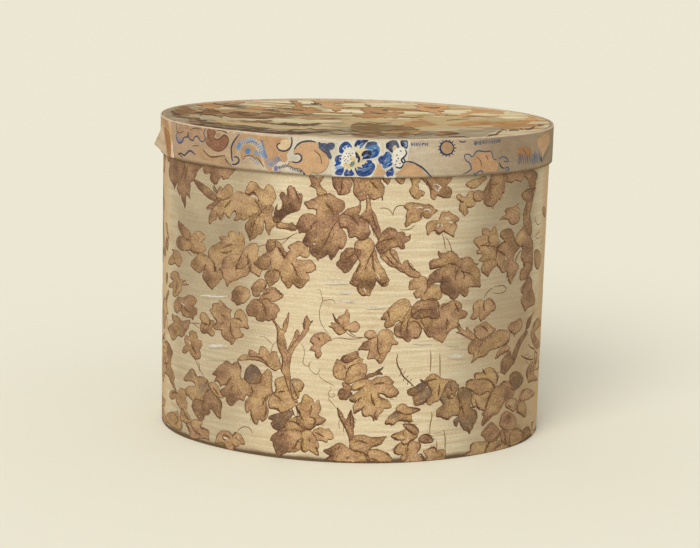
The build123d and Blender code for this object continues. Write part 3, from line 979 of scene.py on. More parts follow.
# %% The leaves, as they are seen at the front
LEAVES = """
.55 .8 | 170,163 169,170 169.5,177 172,182 174,186.5 174.5,188.5 176.5,184 178,182 177,187 178.5,192
180,195.5 181.5,193 181.5,198 183.5,203 185,207.5 186,203 185.8,198 187,194.5 188.5,196.5 190.5,199
189.5,194 190.3,188 190.5,184 191,182 193,180.5 196,176 197,172 201,167 203,160 170,156 | 176,170,4,.3
174,186,3,.4 184,205,3,.3 190,172,6,-.15 | 185,163 184,170 181,178 / 188,165 186,172 185,180;
.42 .8 | 194,180 197,180 203,184 210,189 216,195 217,199 213,200 208,197.5 202,192 198,187 | 199,187,4,.3
208,196,4,.3 |;
.5 .9 | 205,160 204,171 207,173.5 210.5,173 210.5,179 213,183 215.5,184 218,182.5 219.5,179 222,176
223.5,179.5 226,178.5 228.5,178 230,175.5 233,173 236,168 236,162 | 213,178,4,.25 230,170,6,-.15 |;
.2 .2 | 217,192 218,190 219.5,187 222,187.5 223,189 225,186.5 227,184.5 230,184.5 232,187 233,191 232,194
230,197 227,199 223,200 219,201 217,199 216,196 | | 214,185 215,188 217,191 218,193 / 213,186 214,190
217,193;
.2 .3 | 226,198 230,196.5 234,193 238,191.5 242,192 246,194 250,195.5 254,194 258,199 262,205 262,212
257,217 252,216 250,216.5 248,217.5 245.5,219.5 243,220 241,218.5 238.5,219.5 236,220.5 234,219.5
236.3,216.5 236.3,213 235,211.3 232.5,212.5 230.8,216 229.5,218 227,216 225.3,213.5 223.5,217 221.5,219.5
219.5,218.5 218,215.5 216.5,218.5 213,221 209.8,223.5 209,219 210,214 212.5,209.5 214.5,206 217.5,203
220,201.5 | 211,216,4,.3 222,210,5,.1 243,212,6,.18 240,218,5,.15 258,206,4,.1 | 231,200 228,204 224,208 /
217,213 216,217 / 224,212 220,219;
.45 .8 | 218,197 216,200 212,203 208,205.5 206.5,208.5 209,209 212,209 215,206.5 219,202 222,199 |
210,207,3,.2 |;
.18 .15 | 245,192 246.5,188 248.5,184 251,181.8 254,181.7 257,183.7 260,187.5 263.3,190 265.3,188 266,185.8
268,184.6 271,185.2 273.5,188 274.7,192 276,197 274,201 272,205 270,208 268,213 262,212 258,204 255,200
257,198.5 259,201.5 257.5,197 255,193.3 252.5,192 250.5,194 248.5,194.6 246.5,193.7 | 256,186,5,.15 |
245,192.5 247,194 250,194.5 252,192.7 254,192.5 256,195 259,202;
.4 .4 | 248.5,220.5 246,223.5 245,227 246.3,231 248,234.5 249.3,238.5 250,240 250.5,232 252,225 254,219
257,213 252,215 | 248,232,4,.3 |;
.26 .35 | 262,207 257,213 253,219 251,226 250,233 250,240 252.5,238.7 255.5,237.3 258.2,233.8 260,234.6
262.3,232.3 263.6,228.8 263.8,224 264.3,220.5 265,223 265.5,227.5 267.2,232.5 269.5,235 270.5,231.5
273.3,227 277.5,222.5 274,219.5 272,215 273.5,209 271,205 266,206 | 256,233,4,.25 268,230,3,.2 270,215,4,.15
| 267,207 262,211 257,217 254,224 252,232 250,239;
.42 .75 | 277.5,204.5 275.5,208 274.5,213 273.2,218 274,221.5 277,222.6 280,222 282,219.5 285,216.5
290,213.5 295,211.5 299.5,210 301,205 302.3,199 302.5,195 300.5,193.5 298,194.5 296.5,195 295.5,190.5
293,187.5 291,185.7 288.5,186.5 287.3,189.5 287.5,194 286,195.5 284.5,193 282.5,192 280.5,193 279.8,196
281.5,199 282.5,203 281.5,207 280,210 277,209 | 283,210,5,.45 278,218,4,.45 292,209,4,.35 290,190,4,-.25
282,196,2,.3 | 294,187 296,192 298,196 299,203 / 288,189 289,198 291,206;
.35 .5 | 280,222 284,223.3 289,223.5 292,223 295,225 297,227.5 296,230 292,230.3 287,229.3 283,228.5 279,228
276,226.5 | 290,228,3,.25 |;
.42 .75 | 319,196 323,195.3 327,194.3 330,193.5 333,195 337,198 340,199.5 343.5,201 345,204 344.5,208
342,211.5 339,213.5 340,218 339,223 341,228 344.3,231.5 346.6,236 346.7,240 345,245 342.5,248.5 340,248.8
338.6,246.3 338.5,250 336.3,254 333.5,257.7 331.6,260 329.8,257.5 328.3,254 325,256.3 321.5,258 319.3,258.3
318.5,260.4 316.3,258 313,256 310.7,253 309.3,250 309.3,247 306,246.6 303.7,244.3 303,241.5 304,238.3
305.7,235.3 306,232 302.5,232.3 299.3,233 298.3,229.5 296.5,226 297,223 299,219.3 301.3,216 304,214.3
308,213.5 312,214 315.5,215.5 316.3,213 316.2,210 313.5,208.6 309,208.7 306.5,206.5 304.4,203.5 305,201.5
308.5,200.7 312.5,199 316,197.5 | 306,240,5,.35 316,251,6,.4 301,228,4,.35 331,255,4,.35 318,205,8,-.1
338,235,7,-.1 308,205,4,-.12 | 338.5,220 334.5,224.5 331,230 329,236 325,243 321.5,249 / 326,202 329,207
332,210 334,215 / 318,220.5 313,224 310,229 306,231.5;
.3 .5 | 309,176 312,183 310,186 314,187.5 316.5,189.5 317,193 319,196 324,194.5 327,193.5 325,190.5 322,187
320,184 321,181.5 324,177 318,178 313,176 | 314,180,3,.2 |;
.38 .7 | 334,175 333,183 334.5,187.5 337,191 338.5,194.5 341,194.6 345,194.6 348.5,193.3 350.5,190 351.8,186
353,182 354.5,175 | 337,181,3.5,.35 346,186,4,-.1 | 343,178 341.5,184 341.3,190 339.5,194.5;
.45 .6 | 178.5,221 181,222.5 184,225.5 187,228 190,232 191.5,236 190.5,239.5 188,240 185,238 182,234.5
180,230.5 178.3,226 | 180,226,3.5,.35 188,234,4,-.2 |;
.42 .6 | 176.5,241 177.5,238 180,236 182.5,236.5 186,239 190.5,241 192,245 191,248.5 188,250.3 184.5,250.3
181,249.8 178.3,247.3 176.7,244 | 180,242,4,.4 189,245,3,-.2 |;
.17 .2 | 191.5,236.5 193.5,233.5 196.5,231.3 199.5,231.2 202,232.7 204.3,235 205,238 203,240.5 201.5,242
203.5,243.5 205.3,247 205.5,250 202,253 197,253.3 193,252.5 191,250 192,246 191,241 | 194,251,4,.4 | 189,249
192,251.5 196,253 201,253 / 193,243 194,247 196,250;
.35 .5 | 172,249 173.5,252 171.5,255.5 169,259 168.3,262.5 170.5,264.5 173,264.5 174.5,263 176.5,265
179.5,266.8 180.7,264 182.2,260.5 181,256.5 179.3,252.5 176,250 | | 174,252 173,256 175,260;
.5 .4 | 167,237 168.5,242 168.3,247 167.3,250 166,246 166,241 | |;
.2 .4 | 219.5,236.8 223,236.2 229,236.7 228,233.5 230,231.5 233,231.8 236.5,233.5 239.3,235.5 239,232
241,233.3 243.3,236.5 245,241 244.5,245 242,251 238,256 232,259 226,260 222,262 217,268 214,268 212.5,264
210,260 208.6,255 209,250 211.5,246.5 214.5,244.8 218,243.3 221.5,241 | 215,248,4,.35 222,242,2.5,.3
240,248,6,.12 | 220.5,251.5 224,253 229,252 232,250 / 223,248 228,245.5 233,244.5;
.38 .6 | 353,176 354,183 353.4,187 353.4,191 355,195 357.8,198.3 359.8,200.7 360.4,204 361.3,201 364,200.3
366.3,198.5 367.5,194.5 369.5,197.3 372.5,199 375.5,199.3 379,197.7 381.3,197.2 383,200.8 382.7,197 384,193
384.4,188.5 383.4,185 380.5,181.5 380,175 | 360,180,6,.15 382,195,3,.2 372,190,6,-.15 | 370,181 374,185
378,189;
.4 .6 | 382,176 386,183 388,184.5 390,181 392,176 | |;
.35 .6 | 394,176 398,182 401,184 404,182.5 405,176 | |;
.3 .6 | 366.5,198 367,203 366,209 363,213 360.5,217 364,219.5 368,220.5 371,226 374,232 377,237 379,240
380.5,237 381.5,233.5 380,228 377.8,222 376,215.5 373,211.5 371,207 370.5,202 370,198.5 | 375,228,3,.15
368,215,3,.1 | 371,225 375,233 379,239.5 / 372,214 374,221 377,229;
.42 .75 | 343,212.5 347,209.5 350,208 355,207 358.5,205.5 360.5,203.5 361,208 360,212 359,214.5 363,217.5
367,220.5 368.5,224 369,228 370.3,232.5 369.3,236 366.5,238.5 362.5,239.5 359,239.3 356.5,237.3 354.5,236.8
351,237.7 348.7,236.3 348.5,232.5 347.3,229 344,227.5 341,227.5 339.5,224 339,219 340,215 | 350,233,4,.2
360,220,5,-.1 366,236,4,.1 | 342,214.5 347,214.7 352,217 355.5,221 359,226.5;
.42 .75 | 376,246 378,241 380,236.5 382,232.5 385.5,229.5 389,227.7 393,228 396,229.7 397.8,232.3 401,231.8
404.5,232.8 405.8,235.5 408,236.5 410.5,234.7 410.3,239 407.5,241.7 404,243.2 405,246 404,248.7 401.5,249.2
399,247 395.3,246.8 391.5,248.5 388.5,250.2 385,253.5 381.5,256.3 379,253 377.5,250 | 403,246,3,.2
383,250,4,.1 390,233,5,.08 | 374,247 378,243.5 383,241 389,239.3 395,238.7;
.12 .5 | 380,256 384,254 388.5,250.3 391,254.5 395,259.5 400,264.3 403,267.5 408,271 412,275 402,272 396,268
390,265.5 385,261.5 | 386,262,3,.15 | 385,255 390,261 396,266;
.25 .6 | 390,250.5 394,250 397,252.5 398.5,258 401,264 400,265 395,259.5 391.5,254.5 | |;
.25 .3 | 411,176 412,183 411.5,187 409.6,190 410,193.5 412.5,196.5 415.5,198.8 418.5,198.8 420.5,197
421.5,196 424,195.8 424.5,192 421,190.5 419.3,190.3 418.5,187 418,183.5 420,181 421,176 | 413,190,3,.15
418,195,4,-.05 |;
.3 .4 | 423,176 426,183 429,187.5 430.5,191.5 430.5,195.5 432,198.3 434.5,199.8 436,197.5 436.3,195.5
439,195.5 442.5,197 446,197.8 450,196.8 452,193.5 451.5,189.5 449,187 446,185.5 448.5,183 451,176 |
447,192,4,.3 436,180,8,.2 440,192,3,.2 | 426,180 430,186 432,190;
.3 .5 | 404,205.5 407,203.5 411,202.3 415.5,202.7 420,203.5 424.5,204.5 429,204.5 432,205.7 434.5,208.5
438,210.5 434.5,213 430,217 427,218.2 424.5,217 423,215.5 421.5,218.5 418.5,221 414.5,222.5 411.5,223
408.5,225.5 406,226.7 405,224.5 406,220 406.3,215 407.3,211.5 406.7,209 404.5,207.5 | 427,213,3,.2
409,222,4,.2 432,209,4,.15 | 420,218 421.5,214 424,211;
.22 .3 | 426,226.5 428,222.5 431,220.5 435,220 438,220.5 440,217 441,213.5 443,211.5 446.5,212 449,211
452,214 456,215.8 459,219 457,221.5 455,222.5 457.3,225 456.5,228 454.5,232 453.8,236.5 451,235.5 447,233
443.5,231.5 440,234 437,233.3 435,230.5 431.5,231.5 428,235 427,231 | 440,226,2.5,.25 455,219,3,.15 |
436,230 437,232 440,233.5 443,231 445,229.5;
.22 .3 | 456.5,195.5 458,199 460.5,201.5 460,204.5 459,208.5 461,211.5 463.5,214 464,216 466.5,214.5
468.3,212 467.7,209 466.8,206.8 470,207.5 473.5,206 475.5,204 476,202 474.5,200.5 473.5,197.5 473,194
474.5,191.5 471,190.7 468.5,192.5 467,195.5 465,197.5 462,196 460,194 | | 460,201 462,202 464,202;
.25 .3 | 466,184.5 468,182 472,180 478,178.5 484,176 487,178 483.5,181 480,184.5 476.5,187 472.5,188.3
469,187 | 482,180,3,.2 |;
.42 .45 | 490.5,178 488,183 485,188 482.5,191.5 480,190.5 476,191 473.5,194 473.5,197.5 475,200.5
478.5,201.3 481.5,200.8 483.5,199 484,202.5 486,205 489.5,206.3 492,206.5 493.5,208.5 494,205.5 497,202
498.5,198.5 500,199.8 502,195.5 502.5,192 504,192.8 504.8,188 505,183 505.5,180 508,178 504,172 492,174 |
478,196,4,-.15 489,188,3,.2 500,185,5,-.05 488,203,3,.15 | 491,178 490,184 490,190 489.5,196 489.5,200 /
492,184 495,185 498,184 / 484,192 487,188;
.4 .6 | 505,180 508,182 511.5,182.2 514.5,180.3 517.5,180 521,181.5 523,178 524,170 514,170 504,171 | |;
.48 .45 | 524,174 528,180 530,187 531,190 527,191.5 523,192.5 521.5,194.5 523.5,199 526.3,201.5 525,207
523.5,213 523.5,219 524,225 526,231 529,235 531.8,233 532,227 531,221 530,214 531.5,207 532.5,200 533,192
534.5,188 536,181 538,175 533,170 | 525,212,3,.2 526,183,4,-.1 524,196,2,-.1 | 523,192.5 527,190 532,188.5
536,188.7 / 527,200 526,208 527,216 / 536,182 534,192 532,202;
.3 .8 | 500,219.8 504,219 508,219.5 509.5,222.5 512.5,224.5 516,223.5 519.5,220 520,214 519.5,209 517,206
519,203 513,207 508,208 505,210 506,214 502,217 | 512,210,4,.1 |;
.27 .5 | 473.5,240 476,238 480,236.5 483,236 482.3,232 483,229 485.5,228.3 488.5,229.5 490.3,232 492,229.5
494.5,226.3 496,228.5 497,233 498,238 499.5,241.5 497.5,245 497,250 496,256 493,261 489,264 484,262
479.5,260.7 481,257.5 483.5,254.3 481,253.3 477.7,253.3 477.3,251 479.5,249 476,245 | 489,262,4,.2
478,242,3,.05 | 480,245.5 485,245.5 491,246 497,247.5 / 489.5,236 488,240 491,244.5;
.5 .45 | 501,232 503.5,230 507,229 510,228.5 512.5,231 514,235 514.5,240 517,244 519.5,247 517.5,250
514.5,254 513.5,258 512,262.5 508,259 504,254 500,251.5 497.5,250 498,246.5 501,243 505,241 502.5,238.5
500.5,236 | 502,247,5,-.28 510,234,6,.15 516,247,3,.2 507,256,4,-.1 | 495,262 497,255 497,249 499,245.5
503,243 507,241.5;
.3 .5 | 497.5,250.5 501,251.5 504.5,254 505,258 503.5,263 502,268 501.5,271 499.5,268 497,265 494,263.5
493,261 495,256 | 500,264,4,.2 | 499,252 503,253.5 505.5,256.5;
.4 .6 | 515,238 518,233 521.5,229 524,226 527,232 530,236 532.5,241 533.3,247 533,254 533,262 532,270
527,272 524,268 523,262 521,257 522,251 522.5,247 519,246 516,242 | 527,247,5,.2 521,236,4,-.2 530,262,4,.15
| 521,250.5 518.5,253.5 516,258.5 515,264 / 523,243 522,249 / 522,260 525,266 524,271;
.38 .3 | 535,250 539,250.5 541,256 540.5,263 538,269 535,266 534.5,258 | |;
.45 .2 | 543,207 545,208 545.6,213 544.8,217 542.8,213 | |;
.3 .3 | 200,252.5 197.5,255.5 194,258.5 191.5,262 191.3,266 194,269 197,271.5 200,272.5 203,270.3 205,268
203.5,271 202.7,275 203.8,279 206.5,283 209.5,286.5 212.5,289 215,286.5 218.5,283 221,279.5 222.5,276
222,272 220,270.5 216,270 215.3,272 214.5,268 213.5,263 210,258 205,254.5 | 196,263,4,.5 209,278,6,.45
208,262,5,-.12 | 212,259 214,264 215.3,268 214.8,272 / 204,268 206,264;
.25 .45 | 233,254 228,255.8 224.5,257.7 222.5,262 221.5,266 218.5,268.5 221,270.5 222.3,273 223,277
225.3,280.5 227.5,286.5 229,283.5 232,281.5 236,280 239.5,278.3 243,276.5 247,275.5 249,273 249.7,270
250,262 246,256 240,254 | 222.5,264,4,.35 240,276,5,-.08 | 236.5,264 236,268 235.5,271 / 249,262 249.5,268
250,272;
.2 .4 | 236,268 237.5,263 240,258 242,253.5 244.5,248.5 248,245 252,243.2 255.5,243.3 258,245.5 258.7,249
257.5,253 258,257 259,261 260,266 262,268 261,272 259.5,276.5 256,274.5 252,272 250.5,269 249.5,262 246,266
241,268.5 | 240,264,4,.15 | 243,251 240,258 237.5,264 236,270 / 247.5,254 248,260 249,266 250,270;
.22 .25 | 266,253 271,251.5 275,247 279,248.5 282,252.5 285,258.5 286,255 288,252 290,249 288,247 291,244.5
295,242.5 299,241 303,243 307,248 309.5,252.5 309,256 306.5,257.5 303,257.3 300,255.5 297,257 296.5,259.5
300,259.8 305,260.5 310,260 314,263 315.5,266 316,269.5 312.5,271.5 309,273 306,272.5 309,276 309,280
306.5,282 303.5,286.5 299.5,287.8 296,286 293,283.5 291.5,286 288.5,288 285.5,285 282,280.5 281,276.5
280,272 279.5,277.5 277,281.5 273.5,284 271,286 269.3,287 267.5,283.5 265.5,280 264.3,276.5 266,272.5
269,270 271,266 270,260 268,256 | 271,278,5,.42 288,281,5,.3 300,282,5,.42 283,262,8,-.05 303,250,5,.08 |
291.5,262.5 294,267 296.5,273 297,276 / 284.5,259 281.5,253 278,248.5 / 266,272.5 270,270.5 276,270 280,272;
.52 .6 | 268.5,253.5 266.5,249 266,245 267,241 269.5,239.8 273,240 275,242 276,246 274,249.5 271,251.5 |
268,247,3,.15 |;
.32 1 | 275.5,240.5 279,242 282,245.5 284.5,250 287.5,254 286.5,257 285,257 282,252 279,248 276,246 | |;
.52 .5 | 266,253.5 262,255 258.5,257.5 256.5,260.5 253.5,262.5 256,265.5 259,268 263,269.5 268,269.3 270,264
270,258 | 259,262,4,.15 268,260,3,-.25 |;
.32 .3 | 233.5,290 235.5,287.5 239,286.3 243,286.5 247,288 249.5,291.5 250,295.5 248,299 245.5,302
241.5,303.7 237.5,305.3 235,302.5 231.5,300 232.3,296 232,292.5 | 235.5,294,4.5,.5 238,303,3,.25
246,292,4,-.15 |;
.3 .4 | 256.5,281 259,279.3 262.5,279.2 266,281 266.5,285 265,288.5 262.5,291 260.5,292 260,295.5
256.5,296.5 253.5,295 252.3,291.5 251.5,288 253,284.5 | 256,292,4,.25 | 261,291 265,288 266.5,284;
.25 .7 | 260,297 262.5,294 264,291 267,288.5 271,287.5 275,287.7 278.5,291 281,293.5 283.7,295 281,298
277.5,300 273.5,301.5 269.5,301.3 267.5,298.5 264,299 261,300 | 265,291,3,.1 | 275,288 279.5,292.5 282,295 /
262,296.5 266,293.5 270,292.5;
.28 .5 | 254,299 250,302.5 247.5,305.5 246,309 247,312.5 249.5,315.5 253,315.7 256,316.5 256.5,319 259.5,321
263,321.3 266,320 268.5,321 271,320 274,319.7 276.5,317 277.3,313.5 279.5,310 277.5,306 274,303.5 271,302.3
269,298.5 264,299.5 259,299 | 251,309,4,.42 262,317,6,.4 274,317,3,.2 | 257,299.5 261,302 264,306 265.5,311
265.5,316;
.32 .3 | 170.5,277 171,273 173.5,271.3 176.5,271.5 179,274 179.8,278 181.5,279.8 186,280.5 183,282
182.5,283.5 186,283.7 189,284.5 184,285 182,285.5 182,289 179.5,293 176.5,296 174.5,296.5 173,294.5
172.8,291 173.5,288 170,287 168.7,285.5 171,283 174,280.8 172.5,279.5 | 177,285,3,.15 174,275,3,-.1 |
177,283 176.5,288 175.5,293;
.45 .4 | 167,272 168,276 167.5,281 166.5,284 166,278 | |;
.45 .4 | 168.5,290 169,293 167.5,298 166.5,302.5 166,298 167,293 | |;
.4 .55 | 179,297 184,297.5 188,295.5 191.5,295.5 195,297.5 197,300.5 195.5,303.5 193.5,306.5 197,308.5
197,313 194.5,316 193,319.5 191,317.5 187,317.2 183.5,315.5 181.5,312.5 180.5,309.5 179,312 177,313
175,310.5 173.8,306 174.5,302 176,299 | 190,311,5,.15 178,308,3,-.05 | 181.5,309 182,305 184,302 / 184,306
186,310 190,312.5;
.42 .6 | 172,314 174.5,315.8 177,316 179.5,318.5 182,321 186,320.3 190,320.5 189.5,324 188,328 186,331.5
184,335 182,337 179.5,335.5 177.5,336.5 175,339 172.5,340 171,337.5 170,333.5 168.7,330 168,327.5
170.5,324.5 174.5,321.8 172.5,319.5 171.8,316.5 | 184,331,4,.1 172,337,2,-.2 176,328,2,-.2 | 186,322 180,327
176,331 173,335;
.33 .4 | 200.5,314 203,312.3 206,313.8 208.5,317 210.5,320 213,320 214.5,322 213.5,326 211.5,329 213.5,330.5
214.8,333 213.3,335.5 210.5,335.7 207.5,332.5 205,333.5 202,332.5 200,328.5 200.5,324 201.8,322 200.3,318 |
206,331,4,.25 204,316,3,-.1 | 201,322.5 205,324 208,324 / 209,318 210,323 208,327;
.25 .45 | 210,309.5 213,308 212.5,304.5 215,303 217.5,303.5 219.5,300.5 220.5,300 223,302.5 226,306
229,308.7 231.3,310 230.5,314 231.5,319 234,317 235,313 237,310.3 240,309.3 243,310.7 245.5,314.5 247.5,319
247.3,324 249,327 247.5,328.5 244.5,327.3 241,327.3 239.8,325 240,330 241.5,333 244,335.5 241,337.3
238,337.7 235.5,339.5 233.5,343.5 231.5,344 229.5,341.5 226,339.5 223.5,337.5 221.5,334 221.5,330.5
219,329.8 215.5,329.3 213.5,327.5 214.5,324.5 216.5,321.5 213.5,316.5 211,312.5 | 226,337,4,.25
215,326,3,.15 221,308,5,.08 242,318,4,-.08 | 221,314.5 225,317 228,320.5 / 230.5,322 230.5,328 231.5,333
234,338.5 / 235.5,318.7 239,319 242,322 / 213.5,316 216.5,321 215,325 / 220,325 224,322;
.35 .5 | 190,331.5 193,331 196,332.5 197.5,336 198,339.5 201,340.5 202.5,343.5 201,347.5 199.8,350.5 201,354
200,358 196,359 193,356.5 190.5,353 189.5,350 187,352.5 184,352.7 182.5,351 183.5,347.5 186,344.5 184.5,341
184.7,337 186.5,335 189,336.5 189.5,334 | 186,349,3,-.1 193,335,3,-.1 | 191,343 193,348 196,353;
.5 .3 | 165,341 167.5,341.5 170,345 171.5,349 173,353 171.5,358 171,363 171.5,368 173,371 174,374.5
174.8,378 174,381.5 175,386 176.3,390.3 173.5,387.5 171,382.5 169,378 167,374.5 165.3,373 164.5,370
165.5,362 165,354 164.3,347 | 168,350,3,.15 |;
.24 .4 | 237.5,360 239.3,357.3 242,355.5 245,354.4 248,355 249,352.3 249.7,349.3 252.3,350.3 256,352.5
258.7,354 259.3,350 260.3,347.3 262.3,346 265,347.5 267.7,350.7 270,353.3 273,351.3 276.3,352 277.5,356
279,360 281,364 280.5,368 276,370 272.5,369.7 269,366.7 264.5,363.3 260,361 255,360 249,359.5 243,360.3 |
273,361,4,.25 262,350,3,-.05 | 249,356.5 255,356.8 260,357.5 264,360.5 268,364.5;
.32 .65 | 273,321 276,325 277.3,331 277.5,338 277.5,344 279,350 281.5,355 282.5,362 280.8,369 284,375
286.3,382 288,388 290,394 292.5,400 296,402.5 298,402 295,396 292.5,389 291,382 290.3,375 289.5,369
290.5,362 291.5,356 293.5,351 296.5,346 300.5,341 304.5,336 307.5,331.5 309,328 310.5,322 308.5,318.5
307,315.5 305,318 303.8,323 304,329 301,334 297.5,338 293,343 290,349 287.5,352.5 286.5,345 285,338 284,335
286.5,330 288,325 288.8,319 289,312 287,317 284,322 283,327 281.5,329.5 278.5,326 275.5,322 274,318 |
279,340,4,.12 286,360,4,.1 | 273.5,321 276.5,327 277.5,334 277.3,343 279.5,350.5 282,356 282.5,364 281.5,371
/ 305,318 303.8,324 304,329.5;
.3 .5 | 287.5,351 289.5,346 292,341 294,336 295.5,331.5 297.5,329.7 299.3,332 299,336 297,339.5 294,343.5
290.5,348.5 | |;
.22 .8 | 310,341 311.5,337.5 314,334.5 318,333 322,332.3 325.5,333.3 328.5,336 331,338.5 332,340.3 328,341.5
324.5,343.7 321.5,346.5 320,349.5 321.5,353 320.5,356.5 318.8,358 316.5,357 315,354.5 315.3,352 312.5,350.5
309.8,349.8 311.5,347 313.5,344.7 311.5,342.5 | 313,350,3,.1 324,338,4,.08 | 317.5,337 320,340;
.22 .5 | 332.5,313.5 334,318 337,321 339,316.5 342,315.7 345,313 346.5,309.5 348.3,311 349.7,316.5 349,320.5
350.5,323 355,321 358,323 360,327 357,331.5 352.5,331.8 349,330.5 346,329.5 345.5,332 342,334 338.5,334
335,331.5 333.3,328.5 328.7,326.3 332.5,325.5 331,322.8 334,323 336,322.5 | 338,327,4,.12 342,318,3,.08 |
343,326 344,329.5 347,331 / 334,316 337,321.5 340,324.5;
.3 .4 | 354.5,246 355.5,242 358,240.5 361,240.3 364.5,240 369,237.5 372,240 374.5,244 374.7,248 376,252
377,256 378.5,260.5 381,265.5 384,269 385.5,272.5 387.5,276.5 389.3,280 388.5,282.5 387.5,285.5 383.5,286
380,284 377,281 376,281 375,285 373,288.5 371,292 369.5,296 366.5,295 363.5,295.5 360.5,294 358,291 357,288
357.5,285.5 356,286.5 353,285.5 350,283 351,280 353,275 356,270 358.5,265.5 360,262 358,258 356,253 |
355,278,4,.3 364,286,6,.4 372,284,3,.3 385,281,3,.2 368,262,6,-.08 | 374,250 370,257 367,264 365,270 /
372,252 373,260 373,266 375,272 / 361,263 358.5,268 356,273 / 375,278 379,282.5 384,284 387,281;
.5 .7 | 361,250.5 357,249 353,248 349,247.5 346,248.7 343,251.5 340.5,254.5 340,257.5 339,260 336.8,262.5
337,265.5 339.5,268 342,270 344,272.5 347,272.3 350.5,270 353,266 356,262 359,258 361,254 | 346,258,5,.15
346,267,4,.1 | 362,249.5 356,252 351,256 347,261;
.25 .7 | 396,262 401,264.5 404,262 407.5,260 409.5,265 413,269 419.5,273 421,276 417,277.5 413,277.3
408,275.3 403.5,271.5 400,268.3 396,267 | 408,272,3,.1 | 407.5,260 409,264 412,268 418,272.5;
.22 .35 | 416,276 413.5,279 410.5,281 409.5,284 409,289 412,290 416.5,289 415,291.5 413.7,293.5 415.5,297
417.5,298 420.7,297 421,300 424,300.5 430,298.7 434,298.5 437.5,300 440.5,298.5 442.3,295 441.5,291
440.7,286 437.5,284.5 433,284.7 429.5,286.5 427.5,283 427,278.5 424,276.5 420,275.5 | 413,284,3,.1 | 428,288
426,291 424,294;
.38 .55 | 429,262.5 431.5,260 436,259 440.5,258.5 438.7,255.5 438,250.5 441,253 445,253.3 449,251
452.5,251.5 456,254 459.5,258 462,258.3 466,257 470,257.2 472.7,259.5 474.5,262.8 478.5,264 476,265.5
479,269 480,274 480,280 480.5,286.5 476,286.6 468.5,286.8 468.3,291 467.3,295 464.5,296.3 461.8,294.8
460,292.7 458.5,295 456,298 453,299 450.3,297.5 448,295.3 444,293.7 441.3,291.5 440.4,286.5 441,282.6
437,282.2 432.5,283.8 429.5,286 428,288 427,283 428.2,278.5 430.5,274.5 434,271.5 437.5,269.8 441,268
437,267.3 433,269 430,268.8 429.3,265.5 | 434,277,5,.35 446,288,6,.4 454,293,4,.35 464,290,3,.25
443,281,3,.25 471,279,5,-.12 436,263,4,-.12 | 461,265 459,268.5 456.5,272 455.5,277 455,281 / 461,270
463.5,273 464.5,276 463.5,279 / 461,271.5 466,272.5 471,274 474,278.5 / 442.5,276 442,281 440.5,285 /
448,263.5 453,264 458,266 / 430,268.5 434,268.5 440,266.5 446,266.5;
.22 .2 | 381,319.5 382.5,316 385,312.5 388.5,309 392,305.5 396,302 400,299.5 404,298.5 407.5,300 410,303
411,306.5 411,312 409,316 406,320 402,323 399,320.5 396,322 393.5,325.5 390,327 386.5,328 385,326
384.5,323.5 386,320.5 384,319.7 | 384,317,3,.25 388,324,4,.25 396,325,3,.2 | 389.5,308 388,313 390,318;
.3 .6 | 411,306 409,310 405,315 402,319 399,322 395.5,325.5 394.5,329.5 394.3,333.5 396.5,336 400,337
402.5,337.7 405,340 407.7,342 410,341.3 412,338.3 416,338.6 419,337 421,333 421.7,329 423,327 424,318
420,311 415,308 | 397,331,3,.25 405,336,4,.35 | 405,318 402,323 400.5,329 401,334 / 411,316 408,321 407,328
407,334 / 411,323 414,321.3 418,323 420.5,326.5 421.3,331 418.5,336.5 413,338;
.48 .65 | 411.5,316 411,312 412,308 414,304.5 417,301.7 420.5,300 424,300 428,299.5 432,299 435,299.5
438,302 439.5,305 437.5,307 437,310 437.5,313 439.3,317 436,318.5 432,318 428,317 422,318 417,319 413.5,318
| 435,305,4,.2 433,315,4,.25 420,318,4,.15 418,306,4,-.12 | 412,317 415,313 420,310 426,309.5 434,310;
.32 .5 | 421,319.5 426,318 432,319 438,318.5 439.5,315 438,311 438.5,307 441,304.5 445,303.3 449,302
453,300.5 457,301 460.5,302.7 462,306.5 461.3,309.7 465,310.7 467.5,313.5 465,316.7 461,318.7 458.5,320.5
459.5,325.5 456,327.3 452,329 449.5,331.5 447,335.3 445,339 442.7,342.3 439.5,341 436,339.5 433,337 430,337
427.5,336 425,332.5 423.5,329 424,326 422,323 | 426,325,4,.25 431,333,5,.2 442,333,5,.12 457,312,3,.15
463,314,3,.15 448,312,4,-.05 | 441,309 443,306 447,304 / 455,303 457,308 459,312 / 447,318 447,324 446,330;
.25 .5 | 364.5,334 366.5,331.5 369.5,330.3 373,330.3 375.5,332.5 377,336 379.5,332.5 382,329.7 385,329.5
388.5,329 391.5,331.5 393.5,334.5 393,337.5 396,340.5 398,343.3 396,344.5 392.5,344.8 390.8,345.5
390.8,348.5 389.5,351 387.5,352.5 386,356 384,359.5 382,362.7 379.5,363 377.5,361 375,358.5 372,358.7
367.5,358.8 368.5,354.5 369.5,350.5 367,349.8 362,349.5 358.2,349.7 361,345.5 364.5,342 368,340 368.5,338.5
365.5,337 | 364,346,4,.38 380,356,4,.1 | 377,336 377.8,341 377.5,347 378.5,352 380.5,356 / 368.5,340 372,338
376,337;
.38 .5 | 484.5,262 482,265.5 481.5,269.5 483.5,273 488,276.3 490,272.5 492.5,269 496,265.5 497,262 490,259 |
|;
.33 .7 | 500,266 501.5,271.5 504,272.5 506.8,271 507.5,275 508.5,280 510.5,284 512,281 513.5,277.5
515.5,274.5 517,271 519,266 515,262 506,260 | 504,265,4,.1 | 506.8,271 507.5,276 510.5,284;
.5 .6 | 524,262 525,265 523,268 520.5,270 519.8,274 520,279 522.5,280 525.5,279 528,276.5 530.5,272
531.5,266 531,262 | |;
.42 .65 | 528,277 530.5,277.5 532,281 532,287 533.5,293 535,299 534.5,303 531.5,305.5 528,307.5 525,311
523.5,307 521.5,303.5 520.7,300 522,296.5 523.3,294.3 521,291.5 521,288.5 523,285 525.5,281 | 527,286,3,.15
| 527,280 524,286 523,291;
